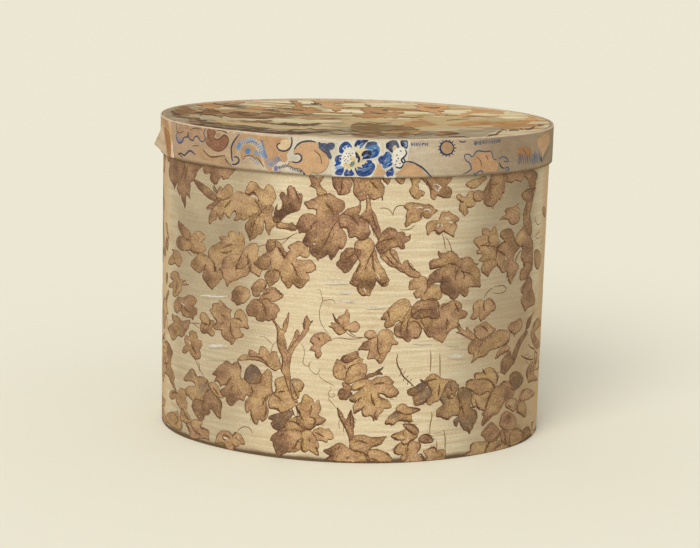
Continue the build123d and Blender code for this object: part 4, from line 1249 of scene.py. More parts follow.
.22 .6 | 480,299.5 476,302 473.5,305 473,308.5 473.5,312 471.5,315.5 470.5,318.5 474,319 477,317.5 479,315
479.5,318 481,321 483,319.5 486,317 489,314 491,311.5 494.5,310 495.8,307 495,303.5 493,301 491,298.5
489,298.3 486,300 483.5,301 | 472,317,3,.2 | 484.5,301 483.5,306 484.5,311 / 491,299 493,302 494,305;
.25 .7 | 458,320 459,324.5 462,328.5 466,331 467,327 470,330.5 474,334 477,337 474,339.5 471,339.8 466,336.7
461,333.8 456.5,332.5 459.5,330.5 457,327.3 460,326.5 457.8,323 | |;
.27 .6 | 473.5,329.5 476,326.5 480,324.5 483,322.5 486.5,322 489.5,324.5 492,327 495,328.5 495.5,331
493,333.5 490,334.5 486,338 482,340 477,338 474.5,335 475,332 | | 481,326 485,328 488,332;
.32 .55 | 473.5,340 470.5,342.5 468.3,346.5 468.3,351 470,353.5 473.3,354.5 473,358 471.5,362.5 475,360
478.5,357.5 481,357 484,356.5 487,354.5 489,351.5 492,349.5 496,348.5 500,347 504,344.5 508,341.5
509.5,338.5 510,335 508,331 504,330 500,329.5 497,330.5 495,334 492,335.5 490,334.3 486,337.5 480,339.5 |
475,347,4,.15 485,352,4,.15 | 490,334.5 486,338 482,343 479.5,348 478,354 / 502,347 506,344 509.5,340;
.25 .5 | 495.3,359 496,355.5 499,350 504,347 508,346 510,348 508,350.5 502,354 498,357 | | 495.5,358.5
500,355 506,351.5 508,350.5;
.33 .7 | 520,318 522,323 521.5,328 519,331 514,334 510,331 508,326.5 511,323 516,321 | | 511,331 513.5,333.5
514.5,337;
.62 .5 | 534,311.5 531.5,315 528,319 526.5,323 526,328 524,333 520,337.5 517,343 514.5,348.5 512.5,354
512.5,359 515,360.5 517,355 519,349 521.5,343 525,337 527.5,333 527,329.5 529.5,326 531,321 531.5,317 | |;
.6 .6 | 501,372 501,367 501,362.5 503,358.5 506,355 508.5,351.5 510.5,351 511.5,355 513.5,358.5 514.5,362
512,365 509.5,368.5 506.5,372 504.5,374 | |;
.4 .5 | 538,318 541,323 542,330 541,337 540,344 536,348 533,343 531,336 532,328 534.5,322 | | 537.5,318.5
534.5,323.5 533.5,330 / 528,344 530,347 533,348.5 535,350.5 534.5,356 534.5,362 533,366 531,370;
.28 .85 | 527,378 526.3,372 528,367 531,363 533.5,361 537,361 539.5,364.5 540.3,370 539.5,375 537.5,379
534,380.3 530.5,380.8 528.5,382.5 | | 533,361 531,366.5 530,372 529.5,375 / 531,363 528,367.5 527,373
527.5,378.5 / 529,382 533,380.5 537,379.5 539.3,375.5 / 521,355.5 525,358 530,359.5 534,359 / 533,372
535,366 536,361 537,354 534.5,351 / 538,360 539,366 541,371
"""

# %% [markdown]
# The lower leaves are drawn in the same way, except for their second number. It is how brown they look, from
# 0 for grey to 1 for golden brown, and `warmth_of` makes their warmth of it.

# %% The lower leaves, as they are seen at the front
LOWER_LEAVES = """
.32 .5 | 178,391.5 179.5,389 182,388 184,389.5 186,388.5 186.5,392 187,395 186,398 185,398.5 187,401.5
187.3,405 186.5,409.5 185,408 183,409.3 180,408 178.5,405 177,403 176,399 176,396 175,398.5 171.5,399
169.3,396 170,392.5 172,390 175,391 | | 172.5,396 172.5,393.5 175,392.3 178,394;
.25 .5 | 170,412 167,414 165.3,418 167,421.5 170,424.5 174,427.5 178,430 181,429.8 182,425.5 181,421
180,417 178,413 177.5,411 174,412 | 174,420,3.5,.22 | 172,411.5 175,414.5 177.7,418 177.5,421.5 175,424 /
180.5,421 182.2,425.5 181,429.8;
.28 .35 | 181,410.5 184,409.5 187,412 189.5,416 191.3,420 191,424 189,422.5 186.5,423.5 183.5,421.5 181,420
180.5,415 | | 183.5,411 186,416 189.5,420.5;
.25 .75 | 191.5,420.5 195,419.3 199,420.3 202.5,421 201.5,425 200.5,427 204,428.3 208,430 209.3,432.5
208.7,436 209.5,440 205.5,438.5 200.5,438 196.5,438.8 192.5,438.3 190,436 189.5,432 188,428 186,424.5
190,424 | 200,436,4,.08 | 191,424 193.5,429.5 197.5,433 202,436 / 183,421 187,424.5 189,429 190,434.5 /
201.5,424.5 200.7,427.3 204,428.5 208.5,430.8;
.36 .35 | 184,378.5 186,375 189.5,370.5 192,368.5 194.5,370.5 196,374 198,376.5 201,376.3 205,377.7
208,380.5 208.8,385 208,389 206,392 204.5,396 203,400 198,399.5 195,398.5 193,400.5 189.5,397 187,395
185,391 186,388 190,386 195,386.5 195.5,384.5 194.5,382.5 192,381 188,381 185,380.5 | 196,390,6,-.1
206,382,4,.08 | 194,373 196.5,376.5 / 205,385 208,381;
.22 .45 | 209,383.5 211.5,382 214.5,382.7 217,385 219,387 220,391 221.5,394 223.5,397 222,398 219,397.5
216,396 213,392.5 210.5,388.5 209,387 | | 213,387 216,391.5 219.5,396;
.6 .75 | 192.5,402 194,399.8 197,399 200,399.5 203,399.8 204,395.5 206,392 208.5,389.5 210.5,388.5
213,392.5 216,397 219,399 221.5,402 222,406 221,411 220.7,418 217.5,416.5 214.5,413 212,409.5 210.5,409
210,412.5 208.5,414.7 205.5,415 204,418.5 202,420.5 200,420.3 197,417 194.5,412.5 192.3,407.5 191.7,405.5 |
199,405,4,-.1 211,397,5,-.28 218,405,5,.05 | 210,389 206,393.5 203.8,399 203.3,406 203,412 / 218,398.5
221,401.5 222,406;
.42 .6 | 212.5,374 215,371 217.5,368 220,365.5 223,364 224.5,361.5 227.5,361 230,362.5 232,364.5 234,363
236.5,361.5 238.5,361.5 239.5,364 241,367.5 241.3,370 240.3,374 241,377.5 243.5,379 246,381 249,383.5
251.5,387 252.7,391 251.5,395 249.7,396.5 246.5,395 245,398.5 243.5,400.5 241.5,399.8 238,400 234.5,403.5
231,406 228.5,403.5 226.5,400.5 225.5,396.5 222.5,396 221,393 220.3,390.5 223.5,388 226.5,385 223.5,384.5
220.5,386 219.3,383 217.5,381 214.5,381.5 215.7,378 216.3,375.5 | 218,374,6,.28 223,391,4,.22 231,400,6,.3
238,379,8,-.16 246,388,4,.02 233,371,4,-.05 | 238,362 240,366 241.3,370 / 226.5,385 229,380.5 231.5,377 /
233,386 229.5,391;
.33 .8 | 252,384 256,383.5 260,382 262,378.5 262,374 263.5,373.3 265.5,371 267.5,368.8 270,370.3
271.5,373.5 272.3,378 271.8,384 272,389 273,393.5 270,395.5 267,400 266.5,404 268,408.5 268.3,412 267.5,416
265.5,419.5 262.5,421 260.5,419 258.5,420.5 257.8,423.5 255.5,424 253,420.5 251,415.5 250.5,410 248.5,412
246.5,412.8 245.3,409 245,404.5 246,400 248.5,397.5 251,395.5 252.7,391 251.3,387 | 252,391,4,.1
258,404,7,-.08 267,374,3,.1 | 270,394 266.5,396.5 264,401 262.5,406 / 250.5,410 251.5,415.5 253,420.5
255.5,424 / 266,406 266,412 264.5,417;
.68 .15 | 244.5,376 245.5,371 248,367 251.5,364.5 254,365 257.5,367.5 260,371 261.5,374 262,378.5 260.5,382
257,383.5 253,383.8 249.5,383.5 246.5,381 244,377.8 | |;
.22 .9 | 275,380.5 277,378 280,377.5 284,377 285.5,381 287,385.5 289,391 291,396 293,400 295,402.5
294.5,406 292,408 289,410 285,411.5 281,412.5 279.5,411 277.5,408.5 274,409 270.5,408 268.5,404.5
268.5,400.5 270.5,396.5 273,394 275.3,392 276,388 275.3,384.5 | 286,400,6,.12 275,402,5,-.05 | 278,392.5
281,391.5 285,391.5 / 273.5,395.5 277.5,396.5 281,400.5 / 275,383 276.3,387 275.5,391.5 273.5,393.3 272,390
272,386 / 270,408.3 276,408.5 279.5,412;
.25 .35 | 290.5,380 294,378.8 298,379 301.5,381 304,384.5 303.3,388 301.5,391 299,391.8 299.5,395 298,398
296,399.5 293,398 291.5,393 290.5,387 290,383 | 294,384,4,.08 | 292,383 294,388.5 296,394 298.5,398.5 /
298,391.8 301,390.5 303.5,386.5;
.3 .9 | 302,401 303,396 305,394 308,395.5 311,398 313.3,400.5 314.7,403 317,401 318.5,400 319.7,403
320.7,407 320.5,410.5 318.5,413.5 319,415.5 322.5,417.5 326,419.5 324.5,422 321.5,424 318,424.5 315.5,425
313.5,427.5 311,429.5 308,429 304,428 300,425 297,421.5 296,418 299.5,416.5 302.5,419.5 300,414 297.5,409
296.5,405 299.5,403.5 | 303,403,4,.1 311,406,5,-.08 320,419,3,-.05 | 309,417 312.5,417.5 315,419.5
315.3,422.5 313,425.5 / 306.5,429 310.5,429.7 314,427 316,424.8 320,424.3 323.5,422.5 326.3,419.5 /
311.5,405 311,410 309.5,415 / 295.5,404.5 297,410 299.5,414.5 302.5,419.5;
.24 .9 | 303,430 308,430 311.5,432 314.5,435 317,440 318.8,444 318.5,448.5 316,447.5 317.5,451 318.7,455
315.5,454.3 312,452 308.5,450 305.5,452.3 302,450.5 301,449 300.7,445 301,440 301.5,435 | 315,450,3,.1 |
303,437.5 302.5,442 301.5,446.5 302.5,450 305.5,452 / 315,447 317.5,450.5 318.5,454.8 / 309,438 310,442;
.2 .95 | 313,431 315.5,429 319,427.7 323,427.7 326,429.5 328.5,428.7 330.5,431 332.5,434 333.5,438
331,439.5 328,439.7 327.5,442 324,441.5 320.5,440.3 317,440 315.5,437.5 314,434.5 | | 315,432.5 319,434
324,437;
.38 .8 | 287,421 291,418.5 295,417.5 299,420 303,424 306,428 303,431 297,431 290,430 285,429.5 285.5,425 |
| 288,421.5 293,421.5 297.5,423.5 300,427;
.56 .72 | 270.3,440 272,436 275,433 278.5,431 282,430 286,430 290,429 296,430 301,432 302,438 299,440
297,444 294.5,447.5 291.5,451.3 288,452.5 285,453 281.5,454.5 278.5,457 277,455 275.5,451 273.5,446
272.8,441.5 | 275,437,4,.12 283,446,6,.1 291,432,5,-.2 299,435,6,-.25 294,440,4,-.15 | 283,433 280,438;
.26 .85 | 298.5,440 300.5,442.5 300.7,447 300,449.5 297,451 293.5,452 290.5,451.5 293,448.5 295.5,445
297,442 | 292.5,447.5,2.5,.4 | 298.7,440 296.5,444 294,447.5;
.72 .2 | 268.8,418.5 270.5,415.5 274,414.5 277,413.8 279,413 281.5,412.5 285,411.5 288,410.5 291,411
292.5,414.5 291,417 289,418.5 287,421 286.5,424 284,428 280.5,430 276.5,430 273,427 271,423 273,421
271,419.5 | 287,414,5,-.15 | 291.5,408.5 293,412 294.5,416 / 294.5,417 298,416.5 300.5,416.3;
.24 .9 | 216,440 217,435.5 219.5,432 223.5,430.7 227.5,431 231,433 233,435.5 234.5,433 236.3,432 240,434
243,438 244.3,441.5 244,444.5 241,444 238,446 235,447 234,450 231.5,452.8 228.5,450.5 225.5,446.5 223,443
219,443 216,443 | 232,440,3,.1 229,447,4,.05 | 222.3,437.3 223.5,435.3 226,435.5 228.5,437 230.5,439.3 /
222.3,437.3 224,439.5 226,440 / 235.5,437 237.5,439 240,441 / 232,443 234.3,446 234.5,449.5 231.8,452.5 /
232,437 234.5,433.5 236.5,432;
.24 .9 | 336.5,360 338,359.3 340,360.3 344,358 350,356 356,354 359.3,356.5 360.5,358.8 363.5,358.5
362.3,361.5 362.3,363.8 365.5,364.5 367,367.5 367,371 365.5,375 363.5,378 360,380 356.5,381 352,383 349,384
346,383 343.5,380 341,379.5 337,378.5 334,375.5 333,371.5 334,366 | 347,380,3,.2 340,371,5,-.04 |
355.5,364.3 351,366 348,369.5 346.5,373.5 345.5,378 / 346,368.5 343.5,365.5;
.55 .6 | 341,360 342,356.5 344.5,355.3 348.5,354 352.5,352.5 355,351.8 357.8,350.8 358,353 358.3,356
356,359 351.5,361 347.5,363 343.5,362 | 353,354,3,-.2 |;
.6 .5 | 343,382 347,384 350.5,386 353,389 350,391 352,394 349.5,397 347,399.5 343,399.7 339.5,398 338,394.5
339,390.5 341,388.5 343.5,387.5 342.5,384.5 | 345,384,3,-.15 |;
.26 .85 | 357,381 361,380 364,378.5 368,379.5 372,380 374.5,378 378,376.8 382,377 386,376.3 389.5,377
391.5,379.5 393.8,382 392.3,384.5 395,387.5 397.5,390 398.8,393 396,395.5 391.5,397.2 387.5,397 384.5,395
383,394 380,393.5 378.7,395.5 381,398 385,398.8 388,400.5 390.3,404 391.7,407 388,408 384,408.7 383,410.5
380.5,413.5 378.5,415.5 377,419.5 375,418.5 374,420.8 373,417.5 370.5,415.5 366.5,416.3 363.5,415.5
362.3,412.5 361.5,409.5 358,411.5 354.5,413.7 353,409.5 353.3,405.5 356,402 352,401.7 349.5,399.5 351,397
353.5,394.5 357.5,392 359.8,389 355,390.3 352,388.5 351.5,386.5 354,383.5 | 374,403,5,.06 352,398,3,.15
376,412,4,.12 364,410,5,-.05 388,388,5,.06 | 362,397 358,400 353.5,401.7 350,400 / 364.5,405.5 362,408.5
358,410.5 354,413 / 371,393 371.5,398 373,402 375,406 / 373,384.3 377,383.8 381,382.8 385,383.3 /
383.5,393.5 387,396.8 392,397.2 396,395.5 398.8,393 / 353,390 357,390 361,388.3 365,385.5 / 376,411
374.5,415 375.5,418 / 379,393 378.7,395.7 381.5,398.2 385.5,399;
.58 .35 | 363.5,378 366,375.5 369.5,373.5 374,372.5 378,370 381.5,368 383.5,366.8 382.5,369.5 380,371.5
382.8,373.8 379,374 374.5,376 370,377.5 366,379 | 372,375,3,-.2 |;
.35 .6 | 337,407.5 338.5,409 341.5,412.5 343.5,417 345.5,421 347.5,418 349,413.5 351,409.5 352.5,414
353.5,419 353.5,425 353.7,431 353,437 351,441 349.5,440 348,434.5 346,429.5 343,424 340,418.5 338.3,413 |
351,420,3,-.1 | 337,407.5 338.3,413 340.3,418.5 343.5,424.5 346.5,430.5 349.5,439.5 / 351,410 350,415.5
350.3,421 350.5,426.5 / 352.3,415 353.7,421 353.7,428;
.4 .8 | 323.5,451 327,448.5 331,447 334,445.5 337,443.5 341,443 344.5,445 347,447 350,449 354,451 359,452
364,453.7 368.5,457 370,460 366,461.5 360,462 352,462 343,461.5 335,461 327,460 325,459.5 329,457
331.5,455.8 328,454.5 325.5,452.5 | 330,450,5,.2 331,459,5,.2 350,456,7,-.08 | 325,460 328.5,457.3
332,455.5 / 340,446 337.5,449 / 349,456.5 346,459;
.35 .95 | 369,450 374,449 379,449.5 384,451.5 388,454 391.5,457 391,461.5 385,462 377,461.5 369,461 366,458
367.5,454 | 388,458,5,.08 | 371,458.5 378,460.5 / 386,452.5 390,455.5;
.33 .75 | 350,447.5 349.7,442 351,438.5 354,436 358,435 363,435 367,435.7 371,437.3 375,437.3 380,437
386,436.3 384.5,439 382.5,442 380.5,444 377,445 372.5,447 370,449 367,451 368,455.5 364,453.5 360,452
355,451.3 351.5,449.3 | 358,440,5,.08 383,439,3,.12 | 354,442.5 358,441 363,441.5 366.5,443.5 / 350,447.5
353,450.5 359,451.7 363.5,452.7 367,455.3 369,457 / 371.5,447.3 376,445.5 381,444;
.28 .85 | 420.5,379.5 424,380.5 427.5,377 431,374.5 434.5,374 438,375.5 441,378 446,379 452,379.5 456,382
452,386 447,389 443.5,392 441,395 440,398.5 437.5,401 433.5,402.5 430.5,405 427,404 426.5,400 430,396
431,391 428.5,386.5 425,383 422,382 | 432,399,4,.15 434,377,4,-.08 450,382,3,.08 | 420.5,379.5 423,381.8
425.5,382.7 429,380.8 433,379.5 437,379.5 / 439.5,384 439,390 438.5,396;
.46 .35 | 417,394.5 421,391.5 425,389 429.5,387 432,391 430.5,396 427.5,399.5 424.5,402.5 420.5,404.5
416,405.5 414,403.5 413.5,400 412.5,397.5 414,396 | 416,402,3,.08 429,391,4,-.15 | 416,405.5 420.5,404.5
424.5,402.5 427.5,399.5;
.66 .2 | 407.5,392 408,389.5 411,388 414.5,387 417,385 420.5,383 424.5,382 428,382.5 427,386 423,389.5
419.5,392 417,394.5 414,396 411,395.5 408.5,394.5 | 424,385,4,-.15 |;
.4 .35 | 443.5,389 446.5,387.5 450,388 453,386.5 456,388.5 456,391 455.5,395 457.5,398 459,402 459,408
459,413 457,415.5 453.5,415.3 450.5,417.5 448.5,419.3 445,418.5 441,417 437,416.5 436.5,412.5 437.3,409.5
440.5,406.5 443.3,404 441,401 440,398 442.5,394 | 451,407,6,-.1 440,412,4,.12 | 440,398 442,402 444,404.5 /
437,416.5 441,417 445,418.5 448.5,419.3 / 446,396 449.5,398.5 454,397.5;
.45 .0 | 446,384 449,381 453,381.5 457,383.5 459,386.5 457.5,390 455.5,392.5 455,396 452,394 449.5,396
447,394.5 445,391 444.5,387.5 | | 450,387 452,391;
.55 .38 | 457.5,392 459,388.5 462,387 465.5,387.5 468.5,389.5 471,392 472.5,396 471,399.5 470.3,404
471,407.5 474,409.5 476,413 477.3,417 476,421 474,424.5 472.5,428.5 470.5,431 469.7,433.5 467.5,431
464,429.5 461.5,426.5 460,423 458.5,421 457.8,424.5 456.5,426.5 454.5,425 453.3,421.5 455.3,418.3 458,416.5
457,414 459,411 459.5,405 459,399 457,396 | 463,396,5,.08 470,425,5,.12 465,409,5,-.08 | 459.5,401
461,405.5 462.5,410 464.3,415 / 466,426 469,431 469.7,433.5 / 474,409 476,412.5 477.2,417 / 471,407.5
474.5,407.5;
.22 .9 | 482,372.5 484,370 488,367.5 492,368 495.5,371 497.5,375.5 497.7,379.5 496.5,383 494.5,388 492,383
489,380 485,379 481,379 476,379.5 474.5,377 474.5,374.5 477,373 480,373 | | 493.5,371 496.5,373.5 497.8,378
496.5,383.5 / 482.5,368.5 484,372 486,375.5 / 474.5,377.5 474.5,374.7 477,373 480,373;
.3 .95 | 466,384 468,381.5 472,379.5 477,379.3 483,379 489,380 492.5,383.5 495,388 492,390 490.5,392.5
487.5,391.3 484,393.3 480.5,395 477,394 474,393 471.5,390.5 469,389 466.5,387.5 | 485,385,5,.06 | 490,380.5
493,384 494.8,388 / 472,391 476,394 480.5,394.8 484,393 487,391.3 / 465.5,382.5 469,380.3 473,379;
.24 1 | 472.5,393 477,394 480.5,395 484,393.3 487.5,391.3 490.5,392.5 489.5,397 487.5,401 485.8,406 485,411
481.5,409.5 479,409 476.5,406 474.5,407.5 472,405.5 471.3,401.5 471.5,397 | 473,400,3,-.12 | 475,399
476.5,404.5 478.5,408.8 480.5,407.5;
.4 .7 | 492,390 495.5,386.5 499,385.5 501.5,382.5 504,381 507.5,381 510.5,382.5 512.5,387 514.5,389.5
514.5,393.5 512,397.5 508.5,399.5 505.5,401 503.5,403.5 501.5,407 499.5,410.5 496.5,414 493,415.5 489.5,419
487,421.5 485,424 482.3,425.5 482,421 483.5,417 482,413.5 484.5,411.5 485.8,406 487.5,400.5 489.5,396
491,392.5 | 507,392,5,.18 485,421,3,.15 494,404,6,-.08 | 491.5,391 489.3,395.5 487.5,401 486,408 / 495,412
490,416 486,419.5 483,424 / 506.5,396 503.5,401 / 501,386 503,382.5 506,381.3;
.68 .25 | 510,375.5 512.5,372.5 516,371.3 519.5,373 522,376 523.3,380 521.5,384 519,387 516,389.5 513,390
510.8,386.5 509.7,381 | 517,379,4,-.08 |;
.3 .4 | 508,399 512,398 516,399 516.5,403.5 515.5,408 513.5,411 510,409.5 506.5,407 505.5,403.5 | | 508,405
511,407.5;
.38 .5 | 517,401.5 519.5,400 523,400.5 525.5,404.5 526.3,410 526,415 524.5,417 521.5,415 518.5,413
516.5,410 | | 520,400.5 518,405 516.8,409.5 518,412.5 521,414;
.22 .75 | 519.5,397 521,392.5 524,389.5 527.5,388.5 531,390 534.5,393 532,396 529,398.5 525,400 520,400 | |
520.5,395.5 522.5,391.5 525.5,389.3 / 534.3,393.3 531,396.5;
.35 .55 | 500.5,418 502.5,413.5 505.5,411.5 509,412 512,414 515,417 516.5,421 516,425.5 513.5,429 510.5,430
506,429.5 502.5,428 499.5,425.5 499.5,421.5 | 508.5,418,3,.35 512,422,3,-.08 | 507.5,414.5 509,418
509,421.5 507,424;
.5 .5 | 481,434.5 483.5,430 486,427 489,423.5 492,422.5 495,424.5 497.5,427.5 499.5,431 500,434.5 498,438
495,440.5 491,441.5 487.5,441.5 485,439 483,436.5 | 489,433,5,.1 486,440,3,-.15 | 499.5,433 497.5,436.5
494,439.5;
.42 .55 | 501,430 503.5,429.5 506,430 509.5,432 510,437 509,441 507,443.5 504.5,444 501.5,441 500.5,436 |
503,438,3,-.12 | 504,431 505,436 505,440.5 506,443.5;
.3 .65 | 511,431.5 513.5,429 517,428 520,429 522,431.5 522.5,435.5 522,440 518,443 514.5,445 510.5,446.5
509.5,442.5 510,437 | 513,443,3,.12 | 513,429.3 517,428.2 520,429.5 522,432;
.5 .4 | 521.5,433 523,429.5 525.5,427 528.5,427.5 530,430 528.5,434 526,437.5 523,440.5 522,437 | |
524,429.5 526.5,427 528.8,428 529,431 / 521.5,432 524,434.5 522.5,440;
.14 .6 | 531.5,425 533.5,422 536.5,424 539.5,426.5 538.5,430 535.5,433 532,435 530.5,431 | | 532,424.5
531.5,428 / 533.5,422 537,424.5 539.3,427;
.24 .85 | 470.5,449 471,445.5 474,443 478,441.5 482,442 486,441 488.5,443 487,447 485,451.5 483.5,454.5
477,455 470,455.5 464,456.5 465,454 468,452.5 | 478,453,4,.08 | 470,449.5 470.8,445 474.5,442.5 / 489,441.5
487,446 484.5,452 / 464,455.5 467,453 471,451.5;
.35 .65 | 489,443 493,441.5 498,440 502,442 506,444.5 509,446.5 505,449.5 499,451.5 492,453 485,454.5
487,449 | 495,447,3,-.1 | 494,450 497,446.5 501,445;
.3 1 | 396.5,411 396.5,407.5 398.5,405 402,403.7 405.5,404.5 408,406.5 411,407.5 415,408 420,409.5
416.5,411.5 412.5,413 410,414 406.5,414.5 403,413.5 399.5,412 | 400,406,3,-.08 | 408.5,407.3 412,407.5
416,408.3 420,409.5 416,411.8 411.5,413.3;
.36 .3 | 385.5,421 387.5,418.5 390,415.5 393,413 396,412 400,412.5 404,414 408,415 411,414.5 411.5,418
411.8,421 409,421.7 405,420.5 401,420.3 398,421 395,423 392.5,425 390.5,423.7 388,424.3 385.5,424 |
404,417,4,.06 389,421,3,-.08 | 394,412 397.5,411.7 401.5,412.5 / 398,421 402,420.7 407,421.3 411.5,421.3 /
385.3,421.5 386,424.3 389,423.5 392.5,425 396,422.5;
.22 .65 | 408,443.5 411,441 415,441.5 419,442.5 420.5,445.5 419,449 417,453 419.5,455.5 422,458 423.5,461
417,462 410,462 404,461.5 406.5,456 407.5,450 | 413,458,4,.05 | 420,443 420.3,446.5 418.5,451 / 419,454
421,454.5 423,457.3 424,461;
.27 1 | 400,443 404,443 407.5,444 407.5,449 406.5,454 407,459 401,461 400.5,457.5 402,454 398.5,454.5
395.5,453.5 393.5,450.5 394.5,447.5 397,445 | | 400,443 396.5,446.5 394,450 395.5,453.5 399.5,454.5 /
403,454 401,457.5 400.3,461;
.18 .85 | 402,431 406,429 410,432 414,435 418,434 417,437.5 413.5,439.5 410,441 407,444 403,444 401,440.5
405,438 | | 417.5,436.5 414.5,439 411,440.5 408.5,443 407.5,447;
.22 .95 | 391,436 394.5,434 398.5,432.5 402,431 405,431.5 407,436 405,440 401,440 397,439.5 393.5,438 | |
391,436 394.5,434 399,432.5 / 391.3,436.5 395,439 400,440.3;
.28 .55 | 403,424.5 407,424 411,424.2 414.5,425.5 417,428 418.8,431 417.5,434 413.5,434.5 410,432 407,429.5
404.5,427 | 413,431,3,.1 | 403,424.5 408,424 413,424.8 416.5,427.5 418.8,431 / 406,427 409.5,431 413,433;
.3 .65 | 418.5,438.5 420.5,436 423.5,434.3 427,434.3 430,435.7 432,438.5 433.3,441 429.5,442.5 426,443
422.5,442.5 419.5,441.5 | 426.5,438.7,3,.38 | 423.5,434.3 427,434.3 430,435.7 432,438.5 433.3,441;
.3 .9 | 423,451 426,449.5 430,448 433.5,447 436,448.5 437.5,451 440,449.5 443.5,449.3 445.5,452.5 445,457
444,460.5 437,461 430,461 426,461 427,457 425,454 | 434,455,3,.12 442,454.5,1.5,.35 | 427.5,449.5 431,447.8
434.5,447.3 436.7,450.5
"""

# %% [markdown]
# Thin stems and tendrils, by their width in pixels, and strokes on the ground: white ones that are painted
# highlights, grey ones that are painted shadows, and painted shade along the paper's lap.

# %% Tendrils and brush strokes
TENDRILS = """
.8 | 380,208.5 384,208 388,209 391,211.5 393,215.5 /393,215.5 394,210.5 397,206.5 401,205.5 405,206
/400,229.5 406,230 411,228.5 415,225 /442,234 444,239 444.5,244 445.5,249 /445,236 449,242 451,248
451.5,252 450.5,256 /393,215.5 394,210.5 397,206.5 401,205.5 405,206 /281,245 286,240.5 291,236 298,232.5
/272,239.5 280,239.5 286,238.5 290,236.5 /258,247 262,245.5 266,245 /187,250.5 189,253 192,256 /535,216
535.5,221 538,224.5 541,222.5 /540,229 539,232 536.5,234.5 536,237 538,238.5 541,234.5 /543.5,236
542.5,240 540,246 /484,298.5 486,294 489,290.5 493,287.5 /494,286.5 498,286 503,285.5 506,288.5 504,292
498,293.5 493,293 /188,323.5 193,323 197,323.3 200,323.7 /193,323.5 196,325.5 199,328 /195,358 197,363
199,368 202,373 204,377 /198.5,362 199.5,367 199,372 /162.5,302 164,309 166.5,316 167.5,322 167.5,328
170,333 /333,338.5 340,338 348,339 355,339 362,338 /345,331 349,334.5 354,337 360,337.5 365,337.5 /344,325
348,330 352,334 356,336 /237,432.5 240,428.5 244,426.8 248,427.3 251,430 252.3,433.5;
.55 | 317,289.5 320,290 321.5,295 322.7,300 321.5,304 320,308 319.5,314 320,320 322,325 326,331 330,336
333,339.5 /322.5,301 327,300 332,299.7 334.5,301 335,304 /300,343 303.5,347 304.5,353 303.5,359 303,363
306,365.5 309,366 310,362.5 312.5,361 /259,336.5 264,337 268,340 271,343 274,345.5 /309,362.5 308.7,366
310,369.5 313,372.5 316.5,374.3 318.5,372.5 320,369 320,368 /318.5,374 320.5,377.5 325,381 330,383.5
335,387 /330.5,386.5 331,389.5 328.5,393 329.5,396.5 332.5,397 335,395.5 334,393.5 331.5,394.5 /329,396
329,400 332,403 334.5,406 336,408.5;
1.5 | 398,354 396.8,359 397.5,365 400,370 403,376 407,380 411,383.5 414.5,387.3 /310,323.5 313,320.5
/307.5,325 307.5,329;
.7 | 401,373 399.5,376.5 /403,374.5 405.5,371 /404.5,378 403,381.5 /406,378 408.5,375.5 /408,381.5
407.5,385 /410,381 412,378.5 /411.5,384 411.5,387 /399.5,370 402.5,368.5
"""
# The white strokes are painted highlights and the grey ones painted shadows; the lap strokes are painted
# shade along the paper's lap
STREAKS = """
white 1.4 | 200,296 206,295.3 212,296.3 220,296.5 228,296 /208,346 214,346.5 220,345.8 228,346
/320,281.5 330,281 340,281.5 350,282 /335,293 345,292.5 353,293 /336,301 346,300.7 356,301
/363,308 372,307 385,307.5;
white 2.2 | 447,356 455,355.5 463,357 /210,345 217,345.6 224,345;
grey 1 | 325,284 333,285 342,284.5 350,284 /340,294.5 350,294.5 /345,302.8 355,303 /366,309.5 376,309.5
386,308.5 /447,358.5 456,359.3 467,359 /412,344 420,345 433,344.5 /446,346.5 460,347 /450,349 470,350
/208,348 218,348.5 232,348 /202,298 212,298.5 226,298.5 /433,433.5 437,433 441,432.5 /430,438 437,439
/175,335 186,335.5 /205,360 220,361 236,359 /480,372 492,374 503,373 /462,300 470,301 480,300;
lap 1.3 | 430.3,350 431,358 430.5,366 430.5,372 /439.7,353 440,362 440,372 440.2,377 /431.5,411 432,416
430.7,422 429.8,428 430,433.5 /443.5,429 444.5,434 445.3,440 445,447 445.7,453 /436.5,440.5 436.8,446
437,451
"""
HIGHLIGHTS = """
419.3,182.5 420,186 419.3,190 /433.5,184.5 437,184.3 441,187.5 439,188.5 438.5,191 436,190 433.5,187
/416,208 419,207.2 423,207.5 /423.5,211 426,209.3 429.5,210 430.5,212 /438.7,223.5 437.5,227.5
/441.5,223.5 442.3,227.5 /445,218.5 448,218.2 450,219 /448.5,221.5 451,222.3 453,223 /181.5,302.5
184.5,305.5 /188.5,341 191,344 /363.5,288 366,292 /377,274 380,279 /378,257 380,262 /251,196 256,197
258,200 /223.5,437 225.5,438.3 227.5,437.8 /237.5,437.5 239,439 /273.8,384.5 274.6,387 274,390.5 /313,243
315.5,245
"""

# %% Printing the box's paper
# Each shape lies a LAYER above the one printed before it, and a shape's own lines lie OVER it
INK_LIFT = 0.045 * MM
LAYER = 0.0006 * MM
OVER = 0.0003 * MM
LEAF_SHAKE = 0.7 * MM
LEAF_LIGHTER = 0.05
EDGE_SHADE = 0.2
EDGE_SPREAD = 1.6 * MM
VEIN_SHADE = 0.12
VEIN_SPREAD = 1.4 * MM
FAR_OFF = (9, 9)
LEAF_OUTLINE = (0.34 * MM, 1.0 * MM)
VEIN_WIDTH = 1.7 * MM
BRANCH_WIDTH = 0.55 * MM
BRANCHED_VEIN = 9 * PIXEL
BRANCH_PLACES = ((0.3, 1), (0.42, -1), (0.56, 1), (0.68, -1), (0.82, 1))
BRANCH_REACH = 0.42
BRANCH_FADE = 1.15
BRANCH_BEND = ((0.75, 0.5), (0.5, 1.0))
HIGHLIGHT_WIDTH = 1.2 * PIXEL
BAND_ROWS = [RIM_LOW + (1.5 + 2.2 * i) * MM for i in range(5)]
SIDE_PRINT_LOW = 0.9 * MM
SIDE_PRINT_HIGH = MOUTH_TOP - 1.4 * MM


def on_side(text):
    """Points of the picture, brought onto the side's sheet: along and height."""
    return [wall_at(px, py, SIDE_FACE) for px, py in points_of(text)]


